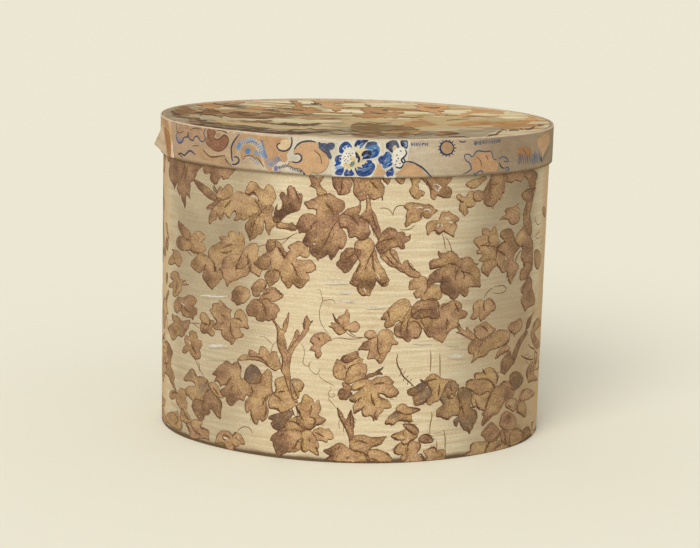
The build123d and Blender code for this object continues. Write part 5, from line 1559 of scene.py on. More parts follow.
def side_bend(bm):
    """Lays a flat print on the side."""
    trim_sheet(bm, SIDE_PRINT_LOW, SIDE_PRINT_HIGH)
    repeat_behind(bm)
    for vert in bm.verts:
        vert.co = wall(vert.co.x, side_inset(vert.co.x, vert.co.y) - vert.co.z, vert.co.y)


def nearest(points):
    """A search for how far a place lies from the nearest of the points."""
    tree = kdtree.KDTree(len(points))
    for i, (x, y) in enumerate(points):
        tree.insert((x, y, 0), i)
    tree.balance()
    return lambda x, y: tree.find((x, y, 0))[2]


def branches(vein):
    """Finer veins to both sides of a leaf's vein, shorter towards its end."""
    count = len(vein) - 1
    length = hypot(vein[-1][0] - vein[0][0], vein[-1][1] - vein[0][1])
    if length < BRANCHED_VEIN:
        return []
    made = []
    for share, side in BRANCH_PLACES:
        at = int(share * count)
        (ax, ay), (bx, by) = vein[at], vein[min(at + 1, count)]
        run = hypot(bx - ax, by - ay) or 1
        ux, uy = (bx - ax) / run, (by - ay) / run
        reach = length * BRANCH_REACH * (BRANCH_FADE - share)
        path = [(ax, ay)]
        for bend, way in BRANCH_BEND:
            turn = bend * side
            x = ax + reach * way * (ux * cos(turn) - uy * sin(turn))
            y = ay + reach * way * (ux * sin(turn) + uy * cos(turn))
            path.append((x, y))
        made.append(flow(path))
    return made


def shade_leaf(bm, shape, veins, tone, warmth, shades):
    """Gives a leaf's points their warmth and tone, darker in shaded spots and along outline and veins."""
    tones = bm.verts.layers.float.new("tone")
    warmths = bm.verts.layers.float.new("warmth")
    from_edge = nearest(shape)
    from_vein = nearest([point for vein in veins for point in vein] or [FAR_OFF])
    for vert in bm.verts:
        x, y = vert.co.x, vert.co.y
        value = tone - LEAF_LIGHTER + EDGE_SHADE * exp(-from_edge(x, y) / EDGE_SPREAD)
        value += VEIN_SHADE * exp(-from_vein(x, y) / VEIN_SPREAD)
        for sx, sy, spread, strength in shades:
            value += strength * exp(-((x - sx) ** 2 + (y - sy) ** 2) / (2 * spread**2))
        vert[tones] = value
        vert[warmths] = warmth


def warmth_of(brownness):
    """The warmth of a lower leaf, from how brown it looks. The middle browns are the rosiest ones."""
    if brownness >= 0.78:
        warmth = 0.3 + (brownness - 0.9) * 0.5
    elif brownness >= 0.55:
        warmth = 0.5
    elif brownness >= 0.42:
        warmth = 0.3
    else:
        warmth = -(0.5 - brownness) * 1.2
    return round(warmth, 2)


# %% The box's print: leaf by leaf
leaf_shapes, leaf_lines = [], []
upper_leaves, lower_leaves = lines_of(LEAVES), lines_of(LOWER_LEAVES)
for i, (ink, outline, spots, veins) in enumerate(upper_leaves + lower_leaves):
    tone, warmth = [float(value) for value in ink.split()]
    if i >= len(upper_leaves):
        warmth = warmth_of(warmth)
    shape = hand_drawn(flow(on_side(outline), closed=True), LEAF_SHAKE, LEAF_SHAKE)
    vein_lines = [flow(on_side(vein)) for vein in veins.split("/") if vein.strip()]
    shades = []
    for spot in spots.split():
        px, py, spread, strength = [float(value) for value in spot.split(",")]
        shades.append((*wall_at(px, py, SIDE_FACE), spread * PIXEL, strength))
    lift = INK_LIFT + LAYER * i
    leaf = flat_shape(shape, lift)
    shade_leaf(leaf, shape, vein_lines, tone, warmth, shades)
    lines = [(shape, outline_widths(shape, *LEAF_OUTLINE), True)]
    for line in vein_lines:
        lines.append((line, tapered(line, VEIN_WIDTH), False))
        lines += [(branch, tapered(branch, BRANCH_WIDTH), False) for branch in branches(line)]
    for shift in shifts(shape, SIDE_END_TO, BAND_ROWS[i % len(BAND_ROWS)]):
        print_of_leaf = leaf.copy()
        bmesh.ops.translate(print_of_leaf, vec=(*shift, 0), verts=print_of_leaf.verts)
        leaf_shapes.append(print_of_leaf)
        leaf_lines += [(shifted(line, shift), widths, closed, lift + OVER) for line, widths, closed in lines]
    leaf.free()
print("leaves", len(leaf_shapes), "lines", len(leaf_lines))

# %% The box's print: stems, strokes and the finished pieces
TOP_LIFT = lift + LAYER
stem_lines, streak_lines = [], {"white": [], "grey": [], "lap": []}
for width, paths in lines_of(TENDRILS):
    for path in paths.split("/"):
        line = flow(on_side(path))
        stem_lines.append((line, tapered(line, float(width) * PIXEL), False, INK_LIFT - OVER))
for entry, paths in lines_of(STREAKS):
    ink, width = entry.split()
    lift = INK_LIFT - (OVER if ink == "lap" else 3 * OVER)
    for path in paths.split("/"):
        line = flow(on_side(path))
        streak_lines[ink].append((line, tapered(line, float(width) * PIXEL, ends=0.1), False, lift))
for path in HIGHLIGHTS.split("/"):
    line = flow(on_side(path))
    streak_lines["white"].append((line, tapered(line, HIGHLIGHT_WIDTH, ends=0.3), False, TOP_LIFT))

bm = joined(leaf_shapes, ("tone", "warmth"))
side_bend(bm)
bmesh.ops.triangulate(bm, faces=[face for face in bm.faces if len(face.verts) > 4])
side_leaves = finish_piece(bm, "side_leaves", "box")
bm = flat_strokes(leaf_lines + stem_lines)
side_bend(bm)
side_lines = finish_piece(bm, "side_lines", "box")
side_streaks = {}
for ink, lines in streak_lines.items():
    bm = flat_strokes(lines)
    side_bend(bm)
    side_streaks[ink] = finish_piece(bm, f"side_{ink}_strokes", "box")


# %% Inks of the leaves
TONE_STOPS = (0, 0.3, 0.62, 1)
GOLDEN = ((212, 181, 130), (182, 147, 101), (139, 106, 73), (88, 64, 46))
ROSY = ((202, 165, 130), (173, 134, 103), (133, 98, 76), (86, 60, 48))
GREY = ((182, 160, 132), (152, 128, 106), (114, 92, 78), (76, 58, 50))


def leaf_ink():
    """Browns from light tan to dark by tone, each tone in a grey, a golden and a rosy brown."""
    material, tree, shader = new_material("leaf_ink")
    patches = ramp_of(tree, noise_node(tree, 48, detail=4, place=(9, 2, 6)), (0.34, 0.0), (0.64, 1.0))
    warmth = scaled(tree, patches, 0.9, maths_of(tree, "ADD", carried(tree, "warmth"), -0.4))
    stipple = noise_node(tree, 640, detail=3, place=(2, 2, 2))
    clouds = noise_node(tree, 75, (1, 1, 1.4), 6)
    tone = scaled(tree, stipple, 1.3, carried(tree, "tone"))
    tone = maths_of(tree, "ADD", maths_of(tree, "ADD", clouds, tone), -1.15)
    golden, rosy, grey = [ramp_of(tree, tone, *zip(TONE_STOPS, browns)) for browns in (GOLDEN, ROSY, GREY)]
    warm = mixed(tree, maths_of(tree, "MAXIMUM", warmth, 0.0), golden, rosy)
    chill = maths_of(tree, "MULTIPLY", warmth, -1.6)
    cold = maths_of(tree, "MINIMUM", maths_of(tree, "MAXIMUM", chill, 0.0), 1.0)
    colour = mixed(tree, cold, warm, grey)
    # Painted shade on the leaves, darker away from the middle and lighter again at the very ends
    side_way = maths_of(tree, "ABSOLUTE", axis_node(tree, "X"))
    painted_shade = ramp_of(tree, side_way, (0.06, 0.0), (0.13, 0.3), (0.2, 0.35), (0.212, 0.0))
    colour = washed(tree, painted_shade, colour, 122, 100, 74)
    matt(tree, shader, colour, SLIGHT_BUMP)
    return material


def thin_ink(name, dark, light, wear):
    """Ink of lines: mottled, and gone thin here and there."""
    material, tree, shader = new_material(name)
    tones = ramp_of(tree, noise_node(tree, 240, detail=4), (0.35, dark), (0.62, light))
    worn = ramp_of(tree, noise_node(tree, 130, detail=5, place=(4, 4, 4)), (0.56, 0.0), (0.7, wear))
    colour = washed(tree, worn, tones, 176, 146, 106)
    matt(tree, shader, colour, SLIGHT_BUMP, detail=5)
    return material


side_leaves.data.materials.append(leaf_ink())
side_lines.data.materials.append(thin_ink("line_ink", (88, 60, 40), (116, 82, 54), 0.6))
# Painted highlights in white, with the leaves' white highlights, painted shadows in grey, and painted shade
# along the lap
side_streaks["white"].data.materials.append(thin_ink("white_highlights", (200, 192, 180), (218, 210, 198), 0.6))
side_streaks["grey"].data.materials.append(thin_ink("grey_shadows", (160, 146, 124), (176, 162, 138), 0.8))
side_streaks["lap"].data.materials.append(thin_ink("lap_shade", (134, 106, 74), (152, 124, 90), 0.6))

# %% [markdown]
# The border of the rim and the sheet on the top are drawn in the same way, with a name for every ink. A
# shape is its ink, the ink of its outline or a dash, and its points. A line is its ink, its width in
# pixels and its points. A row of short strokes across a line is its ink, the strokes' width, their length
# and number, and the line's points. Dots are their ink, their radius and their places.

# %% Inks by name
INKS = {
    "pink": (176, 142, 112),
    "lilac": (122, 126, 168),
    "brick": (140, 98, 74),
    "tan": (180, 146, 110),
    "field": (192, 151, 113),
    "hook": (220, 194, 154),
    "disc": (204, 165, 124),
    # Rust-brown ink of the print, and painted shade beside the loose corner's crease
    "rust": (168, 124, 84),
    "deep": (42, 76, 142),
    "mid": (86, 126, 172),
    "pale_blue": (138, 166, 206),
    "sky": (112, 150, 196),
    "navy": (34, 46, 84),
    "slate": (78, 88, 112),
    "yellow": (224, 204, 150),
    "white": (234, 229, 216),
    "halo": (220, 214, 196),
    "teal": (122, 140, 130),
    "indigo": (66, 66, 86),
    "brown": (106, 76, 56),
    "red": (150, 70, 60),
    "amber": (182, 134, 82),
    "light": (204, 156, 104),
    "umber": (136, 96, 56),
    "dark": (88, 60, 36),
    "straw": (196, 170, 122),
    "olive": (128, 98, 56),
    # Pale ink: short ticks along the rim, and painted highlights at the loose corner
    "tick": (236, 216, 196),
    # A painted highlight along the lid's rolled edge, and the painted shadow just inside it on the top
    "edge": (212, 190, 164),
    "edge_shade": (138, 114, 86),
    "bare": (208, 166, 122),
    # Painted shade on the top, next to the rim
    "haze": (158, 141, 112),
}

# %% The border, as it is seen at the front
# At the loose corner, the rust shape beside the crease is painted shade and the tick shape right of it a
# painted highlight on the fold
RIM_SHAPES = """
bare - | 161,112 164,113.5 168,117.5 170.5,122 171.5,132 172,143 172.5,157 168,155 165,138 162,127;
rust - | 164,127 167,128.5 169.5,133 170.8,141 171,150 170.5,156.5 168,156 167,150 166,141 164.8,134;
tick - | 171.3,141 172.6,143 173,150 174,157.5 171.6,157 171.5,149;
tan - | 162,116 165,117.5 168,122 168.5,129 166,127 163.5,123;
pink - | 178,121.5 188,123 198,125 205,127 204.5,131.7 204,134 205.3,137.5 203,139.5 200,138.5 197,136
194,138 191,139.5 188,137 185,137 183,138.5 181,141 178.5,140 177,136 177.5,131;
lilac - | 177,136 179,139 181,140 183,137 183.5,141 181,143.5 178.5,143 176.5,140;
brick - | 206.6,130.8 209.5,128 212.8,128.3 215.7,131.7 214,135 214.5,138 217.8,139.2 221.2,137.5 224,135
227,136.7 228.5,140.4 227,145 223.7,149.2 218.7,151 212.8,149.6 207.8,145.8 205.3,141.7 207,136.7;
pink - | 216.3,133.5 218.5,132.5 220.5,135 219,137.5 216.5,137.8 215.5,135.7;
tan - | 196,149 200,148 204,151 208,155.5 214,157 221,156 225.5,156.5 226,160 229,164 232,167.5 222,164.5
210,161.5 200,158.5 195,156;
tan - | 240,135 246,134.5 254,135 262,136 268,137 266,141 262,143 258,140 252,137.5 246,138 241,141
238,146 236,152 234.5,156 232.5,152 232.5,146 235,140;
tan - | 241,158 241,150 244,146 249,144.5 254,147 258,152 261,158 262,165 258,161 252,156.5 247,156
244,160;
mid - | 245,150 247,148.3 249.8,149 250.5,151.5 249,154 246.5,154 245,152;
mid - | 237,148 237.5,144 239.5,142.5 240.5,144.5 239.5,147.5;
lilac - | 274,166.5 276,165.5 278,167 277.5,170 275.5,171.5 274,170;
field - | 256,136 266,136.2 276,137 283,138 290,139.5 292,142 291,147 289,151 287,155 287.5,160 284,162.5
280,161 277,163 273,166.5 271,171.5 269,172 265,165 263,158 264,150 262,143;
hook - | 281,141 284,139.5 289,139.5 291.5,140 291.5,144 290,148 286.5,150.8 282,150.8 278,148.5 277,145.5
279,143.5 280.5,144.5;
disc brown | 294.5,149.2 297,145 301,142.5 306,141.3 312,141 315.8,142 317.4,145 318.7,147.5 322,150.8
325.3,153.3 327.8,157 329,160.8 328.3,165 326,169.2 322.8,172 318.7,173.3 314.5,173 312,172.5 310.3,174.6
308.7,176.3 305.3,176.3 303.7,173.3 302,170.4 298.7,168.7 294.5,168.3 291,166.7 288.7,165 288.7,161.7
292,161.7 296,162.5 300,161.2 301.7,158.3 300.7,155.4 298.2,154 294.5,154.3 294,152.5;
slate indigo | 318.7,142 321.2,143.3 324.5,143.3 327.4,143.8 329.5,142.7 332.4,142.7 334.5,144.2 334.5,147
332.4,149.2 330,149.6 329.5,151.7 330.8,154.2 331.6,157.5 330,159.2 328.3,156.7 326.2,153.3 322.8,150.8
320,148.3 318.7,145.4;
halo - | 331,170 332,162 333,156 337,152 337,146 341,141 347,139.5 352.5,141 356,138.5 363,137.8 370,138.2
378,140.5 381.5,146 382.5,152 379,158.5 376.5,163 377,169 373.5,174 369,178 355,178 341,178 333,177;
halo - | 376,160 379,155 384,151 384,144 388,140 396,138.3 409,139 410,146 408.5,152 408,158 406,165
400,170 396,173 395.5,178 386,179 384,174 386,170.5 381,170 378.5,165;
deep - | 339,151 339.3,147 341.3,144 344.5,141.7 348,141.8 350.5,144 352,147.5 349.5,147.2 346.5,148
344.5,149.3 344,152 342,153.5 340,153;
deep - | 334.8,160 335.5,157.3 338,155.2 342.3,155.3 342.8,157.5 341.3,160 341.5,162.5 340,164.8
337.3,165.5 336,166.5 334.2,165.8 335.8,163.3;
pale_blue - | 335,168.5 336.5,166.3 340,165.8 344.5,166 343,168 340.5,168.7 337,169.2;
deep - | 335,172.5 337,169.6 340.3,168.7 345,166.7 344.3,169.8 343,172.8 341.5,175.2 338,175.3
335.5,174.2;
deep - | 343.8,174 345,171.3 347,169 348.5,170.3 350,170.6 351.5,169 353,171.5 354.3,174.3 352,176
348.7,176 345,176.2;
deep - | 354.8,168.5 358,166.7 361.5,167.3 362,164.5 364.5,164 366,161 369,160 371.5,160.5 372.3,162.5
374.8,164.5 375,168 373.3,171.5 370.5,174.7 366.5,176.4 361,176.6 357.3,175 355.8,172;
mid - | 362,170.5 364.5,168 368,166.5 370.5,167.5 369.5,170.5 366.5,172.5 363,172.5;
mid - | 365.3,146 367,143.5 371,141.5 376.5,142 377.5,145 379.5,147.5 379.8,151.5 378,155.5 375,157.5
370.5,158.6 366,159 368,156.5 371,155.8 372,152.5 371.5,149.8 367,149.3 364.5,148.2;
slate - | 365.5,145.5 368,142.5 372,141.3 376.7,142.3 376,145 373,144.8 369.5,146.5 366.5,147.5;
deep - | 371.2,158 374,154.5 376,150.5 378.5,151 377.8,155 375.3,157;
mid - | 354.3,145.5 355.5,142 358,139.4 363,139 369,139.2 366.5,142.3 363.8,145.3 361,148.3 359.3,148.6
360,146 357.5,145.8 355.5,147.3;
navy - | 354.5,145.4 355.8,142.6 358.3,140.3 360.5,141.3 359.5,144.2 357.8,145.8 355.3,146.7;
navy - | 363.5,139.3 368.5,139.4 365.5,142.6 362.5,145.6 361.8,143;
white - | 341.5,159 342,155 344,151.5 347,149.3 350.5,148.6 354,150.5 356.4,154 357,158 356.4,162
354,165.5 350,167.5 346,167.8 342,166.3 341.3,163;
yellow - | 343,164 346,163.3 350,165 353,167 351,169 347,168.3 344,166.8;
yellow - | 350.5,157.5 354,156 356,159 355,163 352,161.5;
yellow - | 355,152 358,149.5 363,148.3 367,149.5 363.5,151.7 361,154.5 361,158.5 362.5,161 360,164 357,166
354,168 351,168.5 352,166 355,163.5 357.5,162.5 359.5,162.5 360.3,158.5 358.5,154.5;
navy - | 361.3,155 363,151.7 366.5,150.2 371.3,150.2 371.8,154 370.5,157.5 367.5,158.8 364,159.3 362,159.6
363,157.2;
sky - | 363.5,155.8 366.5,154.5 367.5,155 365.5,156.8 363.7,157;
navy - | 355.5,151.5 358.5,154.5 360.3,158.5 359.3,162.5 357.7,162.3 357.8,158.5 356,158 355.5,155.5;
teal - | 350,165.5 351,162.5 354,161.2 355,163.5 353,166.5 351,166.8;
mid - | 378,159.2 380,156.3 383.7,155 385.8,152 388.7,151.7 391.2,154.2 392,157.5 392.4,161.7 392,165
387.8,167.5 384.5,168.8 382.4,167 382,164.2 379.5,163.3;
deep - | 378,159.2 380,156.3 383.7,155 385.8,152 387.5,152.3 385.8,156.5 385,161 383.5,165 382,164.2
379.5,163.3;
deep - | 388,166.5 390,161 390.5,156 391.6,157.5 392.4,161.7 392,165;
navy - | 385.8,145.8 386.2,143.3 388.7,141.7 391.2,140.4 390,143.3 389.5,146.7 391.2,150 393.7,152
391.2,152.5 388.3,150 386.2,148.3;
slate - | 389,143.5 391.5,140.6 395,139.8 398,142.5 399.5,148.5 396.5,147.5 394.5,149.5 392,151 390,148;
hook - | 392.6,149.5 393.3,146.5 395.3,145 396.8,147.3 395,149.8;
slate - | 400.3,141.7 402,139.8 406,140 408,141.7 408,146 406.5,149 403.5,147.5 401.3,146;
pale_blue - | 404,142.5 406.5,142 407,145.5 405.5,146.5;
navy - | 400.3,141.5 401.8,139.8 402.8,141.5 403,144.5 403.8,146.8 402,146.5 400.8,144.5;
deep - | 385.8,172.5 387.4,170.4 390,169.2 392,167 393.3,169.2 393.8,172.5 392.8,175.8 390.3,175.8
387.8,177 386.2,175;
white - | 393,152.5 396,150 398.5,148 402,147 405,149.6 406.6,152.5 405.3,155.8 402,158.8 401.6,160.8
403.3,163 403.3,165.5 400.5,167.8 397,167.5 394.5,165.5 393.2,160;
disc - | 395.3,175 397,172.5 400.3,170 402.8,165.8 405.3,163.3 410.3,163 415.3,164.2 419.5,166.7 422.8,170
425.3,174.2 426,176.3 417,176.5 408.7,176.5;
disc - | 374,172 376.5,167.5 378,163.5 381,165 382.5,169 385,170.5 385,174.5 379,175.5 373.5,175;
tan - | 441.5,148 443,143.5 447,141.8 451.5,143.8 453,148 451,152.6 447,154.2 443,152.4;
field - | 473,157 476,153 482,152.5 490,152.5 492.5,156 494,160 497,162 498,168 495,171.5 485,171
476,171.5 472,169 471.5,163;
rust - | 517,150 520,147.5 527,147 531,149 531.5,153 529,156.5 522,158 517.5,155;
disc - | 537,142 540,138 545,134 549,133 549.5,139 548,146 545,152 542,157 540,155 538.5,149.5
"""
# The tick line of width 1.1, along the ridge at the loose corner, is a painted highlight
RIM_LINES = """
white 1.1 | 342.5,147.5 345,151 /346,146 347.5,150 /350,146.5 350.3,150 /339.5,157 343.5,157.8 /339.5,161
343.5,160.5 /340.5,165 344,163.5 /344,169.5 346.5,166.3 /348.8,171.5 349.2,167.5 /353,171 351.8,167.5
/391,158 394,157.5 /391,162 394,161.5;
yellow 1.2 | 356.8,148 357.8,145 /361,150 363.5,147.5 /361,161 364.5,163.5 /359,164 362.5,168 /356.5,167
357.5,170.5 /363.5,160.5 367.5,163;
indigo 1.3 | 177,121.5 176.2,125.8 177,130.8 177.4,133.3 176.2,135.8 176.8,139.6 178.3,142.5 180,143
182.4,141.7 183.3,138.8 185,137 187.4,137 188,132.5 188.7,137.5 191.2,140 193.3,140.4 194,138 196.6,136
198.3,137.5 200,140 202,141.7 204.5,140.4 205.3,137.5 204,134 204,131.7 205.8,128.8 205.3,126 /173,120
174.5,122.5 175,121.5 /178,152.5 182.5,157.5 /499.5,162.5 500.3,165.4 502,167.5 504.5,168.3;
indigo 1.7 | 178.3,154.6 180,153.3 182,153.8 184.5,155.4 186.6,153.3 189.5,150.8 191.6,151.3 193.7,153.3
195.7,154.6 /239.5,133.8 236,138.3 232.8,143.3 231.3,148.3 231.6,153.3 232,159 233,161 /233.7,157 237,157
239,160 237.8,163 234,164.6 232,163.8 /291.5,137 292,141 291.3,145.5 289,149 285.5,150.8 281.5,150.8
278.3,149 277,146.3 278,144 280,143.3 /294.3,149.5 297,145.3 301,142.5 306,141.3 311,141 315.5,142.2
/294.7,154.3 298,153.8 300.7,155.4 301.7,158.3 300,161.2 296.5,162.6 292,161.8 /303.5,172.5 305,175.5
/395.3,166.7 399.5,168 402,166.7 403.3,164.2 /405,149.6 406.6,152.5 405.3,155.8 402,158.8 401.6,160.8
403.3,163 405,161.7 404,159.2 402.4,158.3 /405,162 408.7,161.7 412.8,162.5 417,164.6 422,167.5 426.2,171.3
429.5,175 431.6,177;
brown 1.4 | 213.5,130 215.5,133 213.7,136 214.5,138.5 218,139.5 221.5,137.3 224,135 227,136.7 228.6,140.5
227,145 223.5,149.3 218.7,151.2 213,150 /202.8,149.2 206,153.3 210.3,156.7 216,156.7 222.8,155.8
225.3,156.3 /225.3,158.3 227.8,162.5 232,166.7 /205.3,129 208,127 212.5,127.8 218,130 222,130.5 228,133.5;
brown .9 | 177,131 180,133 184,131 /190,130 196,128 202,130 /192,146 199,145.5 /246,143.5 252,141 257,144
/256,157 260,161 264,167.5 /271,172 275,173 281,172 /208,133 210,140 214,146 /314,150 320,156 321.5,164
/244,157 250,155.5 256,159.5 /477,157 481,162 481,168 /486,155 488,160 /523,149 526,154;
slate 1.3 | 464.9,158.3 464.5,155.8 466.2,154.2 469.5,154.6 471.6,156.7 474,155.4 475,153 477.8,150.8
482,151.3 486.2,151.7 489.5,151 491.6,152.5 492.4,155.8 493.7,159.2 496.2,159.6 /464.9,158.3 466.2,160.8
469,162.5 470.8,165.8 471.2,169.2 467.8,172 462.8,174.2 /473.7,172.5 475.3,175 477.8,172 481.2,170.8
483.3,173 /504,161.3 507.8,161.7 /505.3,168.8 506,167.4 507.7,167.3 508.6,168.6 508,170.2 506.3,170.3
505.3,168.8 /459,141 462,142 466,141.5 /539,156.7 541.2,160 541.6,162 /499,159 503,156.5 507,158.5
509,162;
navy 1.7 | 453.8,148 451.8,152.8 447,154.8 442.2,152.8 440.2,148 442.2,143.2 447,141.2 451.8,143.2
453.8,148;
navy 1 | 341,147.5 344,144.5 347.5,143.4 /337.5,161 339.5,157.5 /337,172.8 341,170.8 /346.5,174.3
349,171.8 /358.5,171 364,168.8 370.5,164.5 /360,173.5 366,172 372,168 /367,141.5 370,144 /372.5,152
377,149 /358.5,144.5 362,141.4 /380.5,159.5 384.5,157.5 388,156 /384,165.5 388.5,162.5 /388.5,173.5
391.5,170.5 /403,143.8 406,144.2;
pale_blue 1 | 342.5,149.5 345.5,146.2 349,145.5 /338.5,160.5 340,158 /357,169.5 361.5,169.8 366,167.8
/368.5,165.5 372,164 /373.5,147.5 376,148.5 /360,145 363.5,143 /383.5,161.5 387,159.5 /386.5,164.5
390.5,163 /346.5,173 349.5,173.2 /388,171.5 391,171.2;
tick 1.1 | 164,114.5 168,118.5 170.5,123 171.2,130;
tick 1 | 182.5,121.7 183.2,124.6 /188.8,122.8 189.4,126.2 /205.6,126.2 206,129.8 /227.3,129 228.2,133.2
/233.4,130.4 234.2,134.2 /262,133.4 263,135.6 /196,124.6 196.5,127
"""
RIM_HATCHES = """
sky 1.2 5.5 22 | 238,149 239.5,144.5 243,141 248,139.8 253,141 258,144 261,149 264,154 267,160 270,165.5;
mid 1.5 2.6 10 | 262,141 263.5,146 264.5,152 266.5,157.5;
sky 1.1 5 5 | 255,152 259,153 263,155;
mid 1.2 6 6 | 271,164.5 275,161 279,158;
slate 1.1 3 16 | 279,167.5 283,166.5 287.5,165.3 292.5,169 297.5,170.2 301.5,171.3;
slate 1 3.6 9 | 411.5,144.3 415.8,144.2 420.6,144.2 427.5,144.4;
indigo 1 2.3 16 | 455.3,148 452.9,153.9 447,156.3 441.1,153.9 438.7,148 441.1,142.1 447,139.7 452.9,142.1
455.3,148;
slate 1 4.2 19 | 474.5,143.2 482,142.2 491,141.6 500,140.6;
slate 1.2 10 15 | 519,158.5 525,158.8 531,158.6 537,158 541.5,156.5;
mid 1.3 15 4 | 534,156.8 539.5,155;
slate 1 4.5 9 | 542,160.5 544.5,156.5 547,151.5 548.3,147;
sky 1 3 5 | 250,158.3 254,160.3 258,163.4
"""
RIM_DOTS = """
indigo .55 | 346,159.5 347.5,156 345,156.5 349,153.5 348.5,157 350.5,155.5 348,161 344.6,160.8 350.6,159
346.4,153.4 351.6,162.5 345.8,163.3;
red .55 | 352.5,153.3 343.8,158.4 349.8,164.3;
indigo .75 | 397,155.2 396.5,161 400,163.5 400.8,151 398.2,158.4 395.4,164.5 423.8,143.6 427.2,144.2
"""

# %% The sheet on the top, as it is seen
# The first three shapes are painted shade on the top, beside the rim at its left end and along its front
TOP_SHAPES = """
haze - | 163,116 168,108 178,104 190,102.5 196,106 192,112 186,118 190,124 184,125 174,121.5 166,119.5;
haze - | 236,127 262,125.5 300,127.5 345,128 352,131.5 340,135.5 305,135 270,133 240,131;
haze - | 356,131 380,133.5 410,134 440,131 470,129.5 500,128 490,134.5 468,140 430,140.5 390,139
356,136.5;
straw - | 340,118.5 372,119.5 400,120.5 430,116.5 470,117.5 500,118 520,121 500,125.5 460,127.5 420,129
380,126.5 350,124.5;
amber dark | 198,103.5 204,102.5 212,102 222,101.5 232,101.3 240,101.8 246,102.5 240,104 232,104.3
224,105.5 218,108 212,109.5 206,108.5 202,106.5;
umber dark | 204,110 210,111 217,111.5 221,113.5 223,116.5 221,118 216,116 211,114.5 206,114.5 203,112;
umber - | 222,115 228,113.5 236,111.5 243,112.5 250,113 258,112.5 266,112 276,113 284,113.5 292,114.5
284,117 274,118 262,118.5 250,118 240,117.8 230,117.5;
dark - | 222,128 232,126 240,124.5 248,123.5 256,125 264,124.8 272,124 280,123 290,122.5 300,123.5
310,123.5 318,123 326,123.3 320,124.5 310,125.5 300,126 290,126.5 280,127 272,128 262,130 250,131
240,131.3 230,131;
umber - | 172,112 176,111 181,111 186,114 190,116 196,117 200,119 194,120 186,119.5 178,118 173,116;
umber - | 183.5,106 186,107.5 189,111 186.5,110.5 184,108;
amber dark | 276,109.5 280,107.5 284,109 290,108.5 294,107 293,103 290,101 295,100.5 299,102.5 302,106
306,108.5 311,107.5 317,110 322,111.5 316,113 308,114.5 300,113.5 292,113 284,111.8 278,112;
light dark | 312,100 318,99.5 326,99.8 335,100 346,101 340,104 333,104 344,107 338,109.5 340,111 333,111
330,108.5 324,107 320,104 314,102.5;
olive - | 362,127.5 368,127 374,125.8 380,128 385,129 384,132 378,134 370,136 366,134 366,130;
amber dark | 360,110 365,108 370,106.5 366,104.5 371,107 378,107.2 386,107.5 389,108 385,110.5 391,112
397,112 403,112.5 398,115 396,118 388,117.5 380,117 372,117.8 364,117.5 356,116.5 352,115.5 360,115.3
366,112.5 362,111;
light dark | 417,106 422,104 430,104 438,104.5 446,106 449,108.5 444,110.5 440,111.5 443,113.5 446,115.5
441,116 435,114 430,112 424,111 418,110;
amber - | 396,126 404,123.5 412,121.5 418,119 424,120 430,123 438,124.5 430,126 420,127 410,127.8
402,127.8 396,127.5;
light - | 459,116 464,113 470,111.5 474,109 478,108 482,109 490,109.5 498,110 506,110.5 504,113 498,114
490,113.5 482,113 474,113.5 468,115 463,117.5;
amber - | 446,125 454,123.5 464,122 474,120.5 484,120.3 494,121.5 504,121 514,121 522,120 530,121 524,124
514,125.5 502,126 490,125.5 478,125.5 464,126 452,126.5;
light - | 524,119.5 528,117 532,116.3 536,118 540,119.5 534,120.5 528,120.5;
umber - | 226,121 238,119.8 250,120.5 262,120 274,121 264,122.3 250,122 236,123 228,122.8;
amber - | 300,118 312,116.5 326,117.5 338,117 330,119.3 316,120 306,119.8;
amber - | 246,107.5 254,106 264,107 272,106.5 266,109 256,109.8 248,109.3;
dark - | 196,118 204,119.5 212,122.5 222,124 232,127.5 242,127 252,129.5 264,129.5 276,131.5 290,130.5
302,132 318,131 334,131.5 322,133 308,133.3 296,134.5 282,134 268,134.3 252,133 238,131.3 224,129.5
212,127.3 203,124.5 198,121.5;
dark - | 171,110.5 177,112.5 185,116 193,118.5 187,119 179,116.5 173,113.5;
umber - | 174,107.5 183,105.5 190,107.5 196,111.5 191,115 184,113.5 177,111;
olive dark | 353,124 362,122.5 374,124 386,123.5 398,125.5 410,127 420,129.5 410,130.5 398,129.5 386,131.5
374,131 364,133.5 356,132 350,128.5;
umber - | 352,133.5 366,134 380,132.5 394,133.5 406,132 414,134.5 402,136.5 386,135.5 370,137 356,136;
umber - | 434,133 442,131 452,131.5 458,134 450,136 440,136.3;
straw - | 214,119 232,121.5 252,122.3 276,124.8 300,126.5 324,126.5 340,128.5 320,129 296,129.3 270,128
246,125.5 228,123.5
"""
